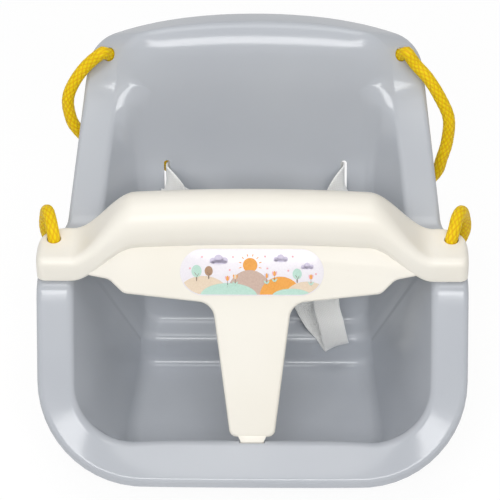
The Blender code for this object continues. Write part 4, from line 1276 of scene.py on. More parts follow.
# Safety bar
@dataclass
class SafetyBar:
    """The T-shaped bar: a thick tube between two ends that rest on the armrests, and a plate with a leg."""

    half_length: float = 0.196
    straight_end: float = 0.1045
    rise_end: float = 0.1645
    end_front: float = 0.1135
    end_depth: float = 0.052
    end_height: float = 0.025
    tube_front: float = 0.1205
    tube_depth: float = 0.049
    tube_height: float = 0.0475
    tube_lift: float = 0.026
    tube_crown: float = 0.0035
    tube_curl: float = 0.018
    plate_depth: float = 0.011
    plate_height: float = 0.050
    crease_share: float = 0.45
    front_round: float = 0.008
    rear_round: float = 0.026
    top_round: float = 0.006
    end_roll: float = 0.0078
    lower_edge: float = 0.003
    leg_top_half: float = 0.036
    leg_foot_half: float = 0.0205
    leg_foot_gap: float = 0.0024
    rib_near: float = 0.060
    rib_far: float = 0.090
    rib_thickness: float = 0.002
    rib_set_back: float = 0.006
    leg_ribs: int = 4
    leg_rib_start: float = 0.075
    leg_rib_end: float = 0.022
    bottom: float = 0.190 + REST_GAP
    tongue_y: float = 0.0362
    tongue_thickness: float = 0.005
    tongue_tip_half: float = 0.0108
    tongue_root_half: float = 0.0130
    tongue_reach: float = 0.0155
    tongue_edge: float = 0.0006
    rim_height: float = 0.069
    boss_wall: float = 0.0034

    def __post_init__(self) -> None:
        """Works out the leg's slope, from the crease under the tube to the slot in the front rim."""
        tube_bottom = self.bottom + self.tube_lift + self.tube_crown
        crease_y = self.tube_front + self.crease_share * self.tube_curl
        self.crease = Vector((0, crease_y, tube_bottom + self.tube_crown))
        self.foot = Vector((0, self.tongue_y, self.rim_height - 0.003))
        self.slope = (self.foot - self.crease).normalized()
        self.normal = Vector((0, self.slope.z, -self.slope.y))
        self.leg_length = (self.foot - self.crease).length - self.leg_foot_gap

    def plate_point(self, x: float, down: float, behind: float) -> Vector:
        """A point of the plate or leg: x across, down its slope, behind its front face."""
        return Vector((x, 0, 0)) + self.crease + self.slope * down - self.normal * behind

    @staticmethod
    def rounding(distance: float, radius: float) -> float:
        """How far an edge draws in at a distance from the bar's end."""
        short = min(radius, max(0.0, radius - distance))
        return radius - sqrt(radius**2 - short**2)

    def cross_section(self, x: float, inset: float) -> tuple[float, ...]:
        """The bar's measures at a place along it.

        Args:
            x: The place.
            inset: How far they are drawn in.

        Returns:
            Its front, rear, bottom and top, and its upper and lower corner radius.
        """
        share = smooth_step((abs(x) - self.straight_end) / (self.rise_end - self.straight_end))
        distance = self.half_length - abs(x)
        crown = self.tube_crown * max(0.0, 1 - (x / self.straight_end) ** 2)
        front = between(self.tube_front, self.end_front, share) + self.rounding(distance, self.front_round)
        rear = between(self.tube_front + self.tube_depth, self.end_front + self.end_depth, share)
        rear -= self.rounding(distance, self.rear_round)
        bottom = self.bottom + between(self.tube_lift + crown, 0, share)
        top = bottom + between(self.tube_height, self.end_height, share)
        top -= self.rounding(distance, self.top_round)
        # All but round above in the middle, with a small edge at the ends
        roll = between(0.99 * self.tube_depth / 2, self.end_roll, share)
        curl = between(self.tube_curl, self.lower_edge, share)
        return front + inset, rear - inset, bottom, top - inset, roll - inset, curl

    def outer_section(self, x: float) -> Points:
        """One outer ring: round above, curled in under the front edge.

        Args:
            x: Where it lies.

        Returns:
            The ring.
        """
        front, rear, bottom, top, roll, curl = self.cross_section(x, 0)
        roll = min(roll, 0.49 * (rear - front))
        outline = ((front, top), (rear, top), (rear, bottom), (front, bottom))
        corners = [Vector((x, y, z)) for y, z in outline]
        return rounded_loop(corners, [roll, roll, self.lower_edge, curl], (10, 10, 3, 8))

    def channel_section(self, x: float) -> Points:
        """One ring of the hollow inside the bar, open below.

        Args:
            x: Where it lies.

        Returns:
            The ring.
        """
        front, rear, bottom, top, roll, curl = self.cross_section(x, WALL)
        roll = min(roll, 0.45 * (rear - front))
        mouth, below, least = front + curl, bottom - 2 * WALL, 0.0005
        corners = [
            (front, top), (rear, top), (rear, below), (mouth, below),
            (mouth, bottom + WALL), (front, bottom + WALL + least),
        ]
        radii = [roll, roll, 0, 0, 0, max(curl - WALL, least)]
        return rounded_loop([Vector((x, y, z)) for y, z in corners], radii, (8, 8, 0, 0, 0, 4))

    def stations(self, end: float, close: bool) -> list[float]:
        """Where the rings lie along x, close together on the rise.

        Args:
            end: Where the last one lies.
            close: Whether they also draw together at the ends.

        Returns:
            Their places, from left to right.
        """
        half = [self.straight_end * step / 6 for step in range(1, 6)]
        half += [between(self.straight_end, self.rise_end, step / 20) for step in range(21)]
        shares = [sin(pi / 2 * step / 16) for step in range(1, 17)] if close else [1 / 3, 2 / 3, 1]
        half += [between(self.rise_end, end, share) for share in shares]
        return [-x for x in half[::-1]] + [0.0] + half

    def plate_loop(self, inset: float) -> Outline:
        """The outline of plate and leg.

        Args:
            inset: How far it is drawn in.

        Returns:
            How far across and how far down the slope each point lies.
        """
        # Each corner's x, how far down it lies, its radius and the spans of its arc
        half = [
            (self.straight_end, -0.006, 0.0, 0),
            (0.150, 0.020, 0.0, 0),
            (0.150, 0.029, 0.0, 0),
            (0.130, 0.033, 0.012, 8),
            (0.117, 0.046, 0.010, 8),
            (self.leg_top_half, self.plate_height + 0.005, 0.016, 12),
            (self.leg_foot_half, self.leg_length, 0.007, 8),
        ]
        right = [(Vector((x, down, 0)), radius, steps) for x, down, radius, steps in half]
        left = [(Vector((-corner.x, corner.y, 0)), radius, steps) for corner, radius, steps in right[::-1]]
        outline = right + left
        corners = inset_outline([corner for corner, _, _ in outline], inset)
        radii, steps = [radius for _, radius, _ in outline], [spans for _, _, spans in outline]
        return [(point.x, point.y) for point in rounded_loop(corners, radii, steps)]

    def plate_mesh(self) -> Mesh:
        """Plate and leg: a bevelled front, a turned edge and a hollow behind.

        Returns:
            The mesh.
        """
        depth = self.plate_depth
        # How far each ring is drawn in and how far behind the front face it lies
        rows = [
            (0.0030, 0.0), (0.0019, 0.00025), (0.0008, 0.0010), (0.0002, 0.0021), (0.0, 0.0036),
            (0.0, depth), (0.0006, depth + 0.0001), (WALL, depth + 0.0001), (WALL, WALL),
        ]
        rings = [
            [self.plate_point(x, down, behind) for x, down in self.plate_loop(inset)]
            for inset, behind in rows
        ]
        return lofted("safety_bar_plate", [rings], 50)

    def ribs(self) -> Iterable[Rings]:
        """Stiffening ribs in the tube's hollow and behind the leg.

        Returns:
            The rings of each rib.
        """
        rib_half = self.rib_thickness / 2
        for x in (-self.rib_far, -self.rib_near, self.rib_near, self.rib_far):
            front, rear, bottom, top, roll, curl = self.cross_section(x, WALL / 2)
            low = bottom + self.rib_set_back
            corners = [(front, top), (rear, top), (rear, low), (front + curl, low), (front, low + curl / 2)]
            rings = [[Vector((x + half, y, z)) for y, z in corners] for half in (-rib_half, rib_half)]
            yield [rounded_loop(ring, (roll, roll, 0, 0, 0), (8, 8, 0, 0, 0)) for ring in rings]
        low, high = WALL / 2, self.plate_depth - self.rib_thickness
        spans = self.leg_ribs - 1
        pitch = (self.leg_length - self.leg_rib_start - self.leg_rib_end) / spans
        for step in range(self.leg_ribs):
            down = self.leg_rib_start + step * pitch
            share = (down - self.plate_height) / (self.leg_length - self.plate_height)
            half = between(self.leg_top_half, self.leg_foot_half, share) - WALL / 2
            corners = rectangle((-half, low), (half, high))
            yield [
                [self.plate_point(x, edge, behind) for x, behind in corners]
                for edge in (down - rib_half, down + rib_half)
            ]

    def tongue(self) -> Rings:
        """The tongue under the leg that goes straight down into the slot of the front rim.

        Returns:
            Its rings.
        """
        thick, narrow, wide, skin = self.tongue_thickness, self.tongue_tip_half, self.tongue_root_half, 0.0005
        near, far = self.tongue_y - thick / 2, self.tongue_y + thick / 2
        root = self.plate_point(0, self.leg_length - 2 * thick, 0)
        edge = self.plate_point(0, self.leg_length - skin, skin)
        rows = [
            (narrow, near, far, self.rim_height - self.tongue_reach),
            (narrow, near, far, self.foot.z + skin),
            (wide, edge.y, edge.y + thick / 2, edge.z),
            (wide, root.y + skin, root.y + thick, root.z),
        ]
        return [
            [Vector((across, y, z)) for across, y in rectangle((-x, front), (x, rear))]
            for x, front, rear, z in rows
        ]

    def bosses(self, radius: float, past: float) -> Iterable[Rings]:
        """A cylinder round the rope at each end of the bar.

        Args:
            radius: Its radius.
            past: How far it reaches past the bar both ways.

        Returns:
            The rings of each.
        """
        for side in Side:
            centre = Vector((side.value * HOLES.front.x, HOLES.front.y, self.bottom))
            yield cylinder_rings(centre, UP, radius, -past, self.end_height + past)

    def build(self, finishes: Finishes) -> list[Piece]:
        """Builds and dresses the bar.

        Args:
            finishes: The seat's materials.

        Returns:
            Its tube with the ends, its plate with the leg, its ribs and its tongue.
        """
        outside = [self.outer_section(x) for x in self.stations(0.999 * self.half_length, True)]
        tube = lofted("safety_bar_tube", [outside])
        channel = [self.channel_section(x) for x in self.stations(self.half_length - 3 * WALL, False)]
        tube = cut(tube, [lofted("channel", [channel])], "DIFFERENCE")
        tube = cut(tube, [lofted("bosses", self.bosses(HOLES.radius + self.boss_wall, -REST_GAP))], "UNION")
        tube = cut(tube, [lofted("bores", self.bosses(HOLES.radius, 2 * WALL))], "DIFFERENCE")
        shade(tube, 40)
        ribs = lofted("safety_bar_ribs", self.ribs())
        tongue = rounded_edges(lofted("safety_bar_tongue", [self.tongue()]), self.tongue_edge)
        meshes = {
            "safety_bar_tube": tube,
            "safety_bar_plate": self.plate_mesh(),
            "safety_bar_ribs": ribs,
            "safety_bar_tongue": tongue,
        }
        pieces = [add_piece(name, mesh, [finishes["bar"]]) for name, mesh in meshes.items()]
        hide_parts("safety_bar")
        for piece in pieces:
            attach(piece, Body.BAR.value)
        return pieces


# Label
@dataclass
class PlateLabel:
    """The printed label on the plate, with a made-up pattern of hills, trees, sun, clouds and tulips."""

    bar: SafetyBar
    half_length: float = 0.065
    half_height: float = 0.0215
    down: float = 0.0255
    thickness: float = 0.0004
    layer_gap: float = 0.00004
    margin: float = 0.0009
    film_edge: float = 0.0002
    inks: dict[str, PrintedInk] = field(default_factory=lambda: {
        "ground": PrintedInk("printed_vinyl_ground", "#F4F0F5", "#EFEAF1"),
        "mint": PrintedInk("printed_vinyl_mint", "#BFE0D2", "#B4D8C9"),
        "beige": PrintedInk("printed_vinyl_beige", "#E9D6BE", "#E2CDB3"),
        "brown": PrintedInk("printed_vinyl_brown", "#B08B6C", "#A5805F"),
        "taupe": PrintedInk("printed_vinyl_taupe", "#CDB3A4", "#C4A798"),
        "orange": PrintedInk("printed_vinyl_orange", "#F0A742", "#E99B34"),
        "pink": PrintedInk("printed_vinyl_pink", "#F2B8BE", "#EBAAB2"),
        "lilac": PrintedInk("printed_vinyl_lilac", "#DAD3E6", "#D1C8E0"),
        "line": PrintedInk("printed_vinyl_line", "#7C6455", "#705A4C"),
    })

    def point(self, along: float, across: float, layer: float) -> Vector:
        """A point of the print, along and up from the label's middle, lifted by its layer."""
        lift = REST_GAP + self.thickness + layer * self.layer_gap
        return self.bar.plate_point(along, self.down - across, -lift)

    def clipped(self, outline: Sequence[tuple[float, float]]) -> Outline:
        """Draws back what lies beyond the label's edge.

        Args:
            outline: The outline.

        Returns:
            The outline within the edge.
        """
        run = self.half_length - self.half_height
        limit = self.half_height - self.margin
        kept = []
        for along, across in outline:
            core = max(-run, min(run, along))
            reach = sqrt((along - core) ** 2 + across**2)
            share = min(1.0, limit / reach) if reach > 0 else 1.0
            kept.append((core + (along - core) * share, across * share))
        return kept

    @staticmethod
    def blob(along: float, across: float, wide: float, high: float, sides: int = 28) -> Outline:
        """An oval about a middle."""
        return [(along + wide * x, across + high * y) for x, y in circle(sides)]

    @staticmethod
    def petal(along: float, across: float, turn: float, length: float, width: float) -> Outline:
        """A leaf or petal.

        Args:
            along: Where it starts along the label.
            across: Where it starts across the label.
            turn: How many degrees from upright it points.
            length: Its length.
            width: About half its width.

        Returns:
            Its outline.
        """
        sides, taper, lean = 20, 0.45, radians(turn)
        outline = []
        for step in range(sides):
            angle = 2 * pi * step / sides
            up = length * (1 - cos(angle)) / 2
            out = width * sin(angle) * (1 - taper * up / length)
            forth, rise = out * cos(lean) + up * sin(lean), up * cos(lean) - out * sin(lean)
            outline.append((along + forth, across + rise))
        return outline

    def motifs(self) -> list[tuple[str, float, Outline]]:
        """Every printed shape.

        Returns:
            Its ink, its layer and its outline on the label.
        """
        found: list[tuple[str, float, Outline]] = []

        def put(ink: str, layer: float, outline: Outline) -> None:
            """Adds one shape, drawn back to the label's edge."""
            found.append((ink, layer, self.clipped(outline)))

        # Hills: ink, middle, half width, height and layer
        hills_foot = -0.0225
        for ink, along, wide, high, layer in (
            ("beige", -0.044, 0.024, 0.019, 1), ("taupe", -0.002, 0.021, 0.0245, 2),
            ("mint", -0.021, 0.026, 0.0125, 3), ("orange", 0.026, 0.019, 0.0185, 3),
            ("beige", 0.050, 0.020, 0.014, 4), ("mint", 0.036, 0.018, 0.0075, 5),
        ):
            put(ink, layer, self.blob(along, hills_foot, wide, high, 48))
        # The sun and its rays
        sun_along, sun_across, sun_radius, ray_start = -0.0015, 0.0065, 0.0066, 0.0080
        put("orange", 1, self.blob(sun_along, sun_across, sun_radius, sun_radius, 36))
        for turn in range(15, 360, 30):
            lean = radians(turn)
            start = (sun_along + ray_start * sin(lean), sun_across + ray_start * cos(lean))
            put("orange", 1, self.petal(*start, turn, 0.0028, 0.00055))
        # Clouds: middle and size, each of three puffs on a flat base
        for along, across, size in ((-0.030, 0.0105, 1.0), (0.026, 0.0120, 0.8), (0.050, 0.0050, 0.7)):
            for shift, rise, puff in ((-0.0052, 0, 0.0028), (0, 0.0016, 0.0040), (0.0054, 0.0002, 0.0030)):
                radius = puff * size
                put("lilac", 5, self.blob(along + shift * size, across + rise * size, radius, radius))
            put("lilac", 5, self.blob(along, across - 0.0012 * size, 0.0080 * size, 0.0020 * size))
        # Trees: foot, size and the crown's ink, each with its trunk under the crown and two branches over it
        for along, foot, size, ink in (
            (-0.050, -0.0085, 1.0, "mint"), (-0.039, -0.0065, 0.8, "brown"), (0.041, -0.0100, 0.9, "mint"),
        ):
            put("line", 6, self.petal(along, foot, 0, 0.0095 * size, 0.0007))
            put(ink, 7, self.blob(along, foot + 0.0095 * size, 0.0046 * size, 0.0056 * size))
            put("line", 8, self.petal(along, foot + 0.0040 * size, 32, 0.0045 * size, 0.0003))
            put("line", 8, self.petal(along, foot + 0.0055 * size, -32, 0.0038 * size, 0.0003))
        # Tulips: foot and ink, each a stem, two leaves and three petals
        for along, foot, ink in (
            (-0.022, -0.0140, "pink"), (-0.015, -0.0125, "orange"), (0.0135, -0.0115, "lilac"),
            (0.0205, -0.0095, "pink"), (0.0535, -0.0125, "pink"),
        ):
            put("line", 6, self.petal(along, foot, 0, 0.0072, 0.0003))
            for turn in (38, -38):
                put("mint", 7, self.petal(along, foot + 0.0008, turn, 0.0040, 0.0010))
            middle_ink = "beige" if ink == "orange" else "orange"
            for turn, petal_ink, layer in ((-24, ink, 8), (24, ink, 8), (0, middle_ink, 9)):
                put(petal_ink, layer, self.petal(along, foot + 0.0062, turn, 0.0046, 0.0014))
        # Dots scattered over the sky
        for along, across in (
            (-0.056, 0.0035), (-0.045, 0.0140), (-0.017, 0.0140), (0.012, 0.0145), (0.037, 0.0145),
            (0.058, -0.0015), (-0.020, 0.0020), (0.014, 0.0035), (0.033, 0.0015),
        ):
            put("pink", 5, self.blob(along, across, 0.0009, 0.0009, 12))
        return found

    def build(self, finishes: Finishes) -> list[Piece]:
        """Builds the label's film and its print.

        Args:
            finishes: The seat's materials.

        Returns:
            Film and print.
        """
        rings = []
        for inset, lift in ((0.0, 0.0), (0.0, 0.75 * self.thickness), (self.film_edge, self.thickness)):
            outline = pill(self.half_length - inset, self.half_height - inset, 72)
            rings.append([
                self.bar.plate_point(along, self.down + across, -REST_GAP - lift) for along, across in outline
            ])
        film = add_piece("label_film", lofted("label_film", [rings], 30), [self.inks["ground"].build()])
        names = [name for name in self.inks if name != "ground"]
        bm = bmesh.new()
        for ink, layer, outline in self.motifs():
            face = bm.faces.new([bm.verts.new(self.point(along, across, layer)) for along, across in outline])
            face.material_index = names.index(ink)
            face.normal_update()
            if face.normal.dot(self.bar.normal) < 0:
                face.normal_flip()
        mesh = bpy.data.meshes.new("label_print")
        bm.to_mesh(mesh)
        bm.free()
        printed = add_piece("label_print", mesh, [self.inks[name].build() for name in names])
        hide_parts("bar_label")
        for piece in (film, printed):
            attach(piece, Body.BAR.value)
        return [film, printed]


# Ropes
@dataclass
class SwingRope:
    """One hanging rope: its stretch over the bar's end, its spare length in a coil, and up to the wing."""

    side: Side
    diameter: float = 0.012
    coil_x: float = 0.091
    coil_y: float = 0.335
    coil_radius: float = 0.074
    coil_turns: int = 2
    coil_floor: float = 0.0078
    # Height of the bar's end at rest, and how far down in its hole the rope's free stretch starts
    bar_top: float = 0.2153
    sunk: float = 0.004
    straight_run: float = 0.010
    knot_share: float = 0.87
    ring_pitch: float = 0.0015
    swell_share: float = 0.012
    swell_length: float = 0.041
    braid: BraidedRope = Palette.rope

    @property
    def pitch(self) -> float:
        """From one turn of the coil to the next."""
        return self.diameter + 0.0008

    @property
    def layer(self) -> float:
        """From one layer of the coil to the next."""
        return self.diameter + 0.0006

    def coil_point(self, turn: float, radius: float, rise: float) -> Vector:
        """A point of the coil."""
        x, y = radius * cos(2 * pi * turn), radius * sin(2 * pi * turn)
        return Vector((self.coil_x + x, self.coil_y + y, self.coil_floor + rise))

    def coil_line(self, per_turn: int) -> Points:
        """The coil: it spirals in on the floor, climbs a layer, and spirals out.

        Args:
            per_turn: Points for each turn.

        Returns:
            Its points.
        """
        inner = self.coil_radius - self.pitch * self.coil_turns
        turns = [step / per_turn for step in range(per_turn * self.coil_turns + 1)]
        points = [self.coil_point(turn, self.coil_radius - self.pitch * turn, 0) for turn in turns[:-1]]
        climb = per_turn // 2
        for step in range(climb):
            share = step / climb
            draw_in = self.pitch * min(share, 1 - share) / 2
            points.append(self.coil_point(share / 2, inner - draw_in, smooth_step(share) * self.layer))
        return points + [self.coil_point(turn + 0.5, inner + self.pitch * turn, self.layer) for turn in turns]

    def front_route(self) -> list[tuple[float, float, float]]:
        """From the bar's end, over and down behind it to the coil.

        Returns:
            Hand-chosen points.
        """
        x, y, top = HOLES.front.x, HOLES.front.y, self.bar_top
        lean = 0.001 if self.side is Side.RIGHT else 0.0
        return [
            (x, y, top - self.sunk),
            (x, y, top + 0.0015),
            (0.1825 + lean, 0.1500, 0.2235),
            (0.1855 + lean, 0.1610, 0.2280),
            (0.1890 + 2 * lean, 0.1730, 0.2255),
            (0.1925 + 2 * lean, 0.1840, 0.2110),
            (0.1945 + 2 * lean, 0.1895, 0.1900),
            (0.1900, 0.1925, 0.1640),
            (0.1820, 0.1960, 0.1250),
            (0.1740, 0.2030, 0.0800),
            (0.1680, 0.2200, 0.0400),
            (0.1655, 0.2500, 0.0140),
            (self.coil_x + self.coil_radius, 0.2900, self.coil_floor),
        ]

    def rear_route(self) -> list[tuple[float, float, float]]:
        """From the coil, up behind the back to the hole in the wing's rim.

        Returns:
            Hand-chosen points.
        """
        if self.side is Side.RIGHT:
            return [
                (0.0180, 0.2990, 0.0240), (0.0200, 0.2880, 0.0390), (0.0350, 0.2830, 0.0690),
                (0.0700, 0.2830, 0.1050), (0.1180, 0.2860, 0.1330), (0.1540, 0.2830, 0.1600),
                (0.1735, 0.2780, 0.1870), (0.1790, 0.2800, 0.2040), (0.1835, 0.2840, 0.2220),
                (0.1840, 0.2880, 0.2460), (0.1745, 0.2925, 0.2680), (0.1630, 0.2990, 0.2850),
                (0.1516, 0.3065, 0.2950),
            ]
        return [
            (0.0175, 0.2990, 0.0240), (0.0190, 0.2880, 0.0400), (0.0270, 0.2800, 0.0800),
            (0.0410, 0.2790, 0.1250), (0.0600, 0.2830, 0.1620), (0.0850, 0.2870, 0.1890),
            (0.1200, 0.2900, 0.2020), (0.1545, 0.2920, 0.2115), (0.1720, 0.2935, 0.2300),
            (0.1775, 0.2960, 0.2450), (0.1780, 0.2990, 0.2615), (0.1710, 0.3020, 0.2780),
            (0.1590, 0.3070, 0.2930),
        ]

    def line(self, per_span: int, per_turn: int) -> Points:
        """The whole rope's centreline on its side.

        Args:
            per_span: Points for each span of the listed routes.
            per_turn: Points for each turn of the coil.

        Returns:
            Points from the bar's end to the knot behind the wing.
        """
        coil = self.coil_line(24)
        into = (coil[0] - coil[1]).normalized()
        out = (coil[-1] - coil[-2]).normalized()
        entry = coil[0] + into * (self.diameter + REST_GAP)
        leave = coil[-1] + out * (self.diameter + REST_GAP)
        front = [Vector(point) for point in self.front_route()]
        run = self.straight_run - REST_GAP
        front += [entry + into * run, entry]
        hole, normal = HOLES.rear, HOLES.rear_out
        rear = [leave, leave + out * run]
        rear += [Vector(point) for point in self.rear_route()]
        rear += [hole + normal * self.straight_run, hole + normal * 0.0025]
        fine = self.coil_line(per_turn)
        points = cord_line(front, per_span) + fine + cord_line(rear, per_span)
        points.append(hole - normal * (WALL + 0.002))
        return mirrored(points, self.side)

    def braided(self, name: str, line: Points, thickness: float, finish: Material) -> Piece:
        """A length of rope with the relief of its braid.

        Args:
            name: Name of the piece.
            line: Its centreline.
            thickness: Its radius as a share of the rope's own.
            finish: Its material.

        Returns:
            The piece.
        """

        def radius(around: float, along: float) -> float:
            """Radius of the rope, which swells and narrows a little.

            Args:
                around: Share of the way round.
                along: Length along the rope.

            Returns:
                The radius on or between its strands.
            """
            swell = 1 - self.swell_share * (1 + sin(along * 2 * pi / self.swell_length)) / 2
            sunk = self.braid.relief * (1 - self.braid.height(around, along))
            return thickness * self.diameter / 2 * swell - sunk

        mesh = tube_mesh(name, even_points(line, self.ring_pitch), radius, 40)
        piece = add_piece(name, mesh, [finish])
        return piece

    def knot_line(self, seat: Vector, axis: Vector) -> Points:
        """The centreline of an overhand knot hung from its seat, with a short tail.

        Args:
            seat: The point under the hole that the knot is pulled up against.
            axis: The direction from the knot into the hole.

        Returns:
            Points from inside the hole to the tail's end.
        """
        # A trefoil that stops short of closing, with its middle a little below the seat
        across, high, drop = 0.0026, 0.0050, 0.0105
        start, sweep, spans = 0.42, 2 * pi * 0.86, 33
        shape = [Vector((0, 0, 0.0045)), Vector((0, 0, 0.0))]
        for step in range(spans + 1):
            t = start + sweep * step / spans
            shape.append(Vector((
                across * (sin(t) + 2 * sin(2 * t)),
                across * (cos(t) - 2 * cos(2 * t)),
                -drop - high * sin(3 * t),
            )))
        last = (shape[-1] - shape[-2]).normalized()
        shape.append(shape[-1] + (last * 0.6 - UP * 0.8).normalized() * 0.005)
        shape.append(shape[-1] + (last * 0.2 - UP).normalized() * 0.006)
        turn = axis.to_track_quat("Z", "Y") @ Quaternion(UP, 0.7 * self.side.value)
        return [seat + turn @ point for point in smooth_curve(shape, 3)]

    def build(self, finishes: Finishes) -> list[Piece]:
        """Args:
            finishes: The seat's materials.

        Returns:
            Rope, core, tie and knots.
        """
        finish, word, seat = finishes["rope"], self.side.word, Body.SEAT.value
        line = self.line(10, 60)
        rope = self.braided("rope_" + word, line, 1.0, finish)
        stretches = ("rope_front_", "rope_coil_", "rope_rear_", "rope_rear_core_")
        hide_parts(*(stretch + word for stretch in stretches))
        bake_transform(rope)

        mirror = Vector((self.side.value, 1, 1))
        foot = (HOLES.front - UP * (WALL + REST_GAP)) * mirror
        top = Vector((foot.x, foot.y, self.bar_top - self.sunk))
        core = self.braided("rope_core_" + word, [foot - UP * 0.002, top], 1.0, finish)
        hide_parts("rope_front_core_" + word)
        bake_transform(core)

        knots = []
        rear = (HOLES.rear - HOLES.rear_out * (WALL + REST_GAP)) * mirror
        for place, seat_point, axis in (("front", foot, UP), ("rear", rear, HOLES.rear_out * mirror)):
            name = f"knot_{place}_{word}"
            knot = self.braided("stopper_" + name, self.knot_line(seat_point, axis), self.knot_share, finish)
            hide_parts(name)
            knots.append(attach(knot, seat))
        tie = CoilTie(self).build(finishes)
        path = [TO_FOOTPRINT @ point for point in self.line(3, 24)]
        tuple(path[0])
        line_length(path)
        [tuple(point) for point in path]
        return [rope, core, tie, *knots]


@dataclass
class CoilTie:
    """The hook-and-loop strap round a coil, with its end pressed down over itself."""

    rope: SwingRope
    thickness: float = 0.0012
    width: float = 0.012
    play: float = 0.0014
    soft: float = 0.0003
    corner: float = 0.0045

    def loop(self, grow: float) -> Points:
        """The strap's line round the four strands.

        Args:
            grow: How far it is grown outwards.

        Returns:
            Its points.
        """
        rope = self.rope
        inner = rope.coil_radius - rope.pitch * (rope.coil_turns - 0.25) - rope.diameter / 2 - self.play
        outer = rope.coil_radius - rope.pitch * 0.75 + rope.diameter / 2 + self.play
        low = rope.coil_floor - rope.diameter / 2 - REST_GAP
        high = rope.coil_floor + rope.layer + rope.diameter / 2 + REST_GAP
        corners = [
            (rope.coil_y - inner + grow, low - grow),
            (rope.coil_y - inner + grow, high + grow),
            (rope.coil_y - outer - grow, high + grow),
            (rope.coil_y - outer - grow, low - grow),
        ]
        points = [Vector((rope.side.value * rope.coil_x, y, z)) for y, z in corners]
        return rounded_loop(points, [self.corner + grow] * 4, [8] * 4)

    def build(self, finishes: Finishes) -> Piece:
        """Builds and dresses the tie.

        Args:
            finishes: The seat's materials.

        Returns:
            The tie.
        """
        bm = bmesh.new()
        thick, soft = self.thickness, self.soft
        half = Vector((self.width / 2, 0, 0))
        eased = half * 0.96
        rows = []
        for grow, shift in (
            (0, -eased), (soft, -half), (thick - soft, -half), (thick, -eased),
            (thick, eased), (thick - soft, half), (soft, half), (0, eased),
        ):
            rows.append([bm.verts.new(point + shift) for point in self.loop(grow)])
        bridge(bm, rows + rows[:1])
        # The strap's end lies over itself on top of the coil
        above = slice(9, 22)
        lap, over = self.loop(thick + 0.0001)[above], self.loop(2 * thick)[above]
        wide, narrow = half * 0.94, half * 0.9
        rings = [[low - wide, low + wide, high + narrow, high - narrow] for low, high in zip(lap, over)]
        loft(bm, rings)
        name = "tie_" + self.rope.side.word
        tie = add_piece(name, finish_mesh(name, bm), [finishes["tie"]])
        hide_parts("coil_tie_" + self.rope.side.word)
        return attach(tie, Body.SEAT.value)


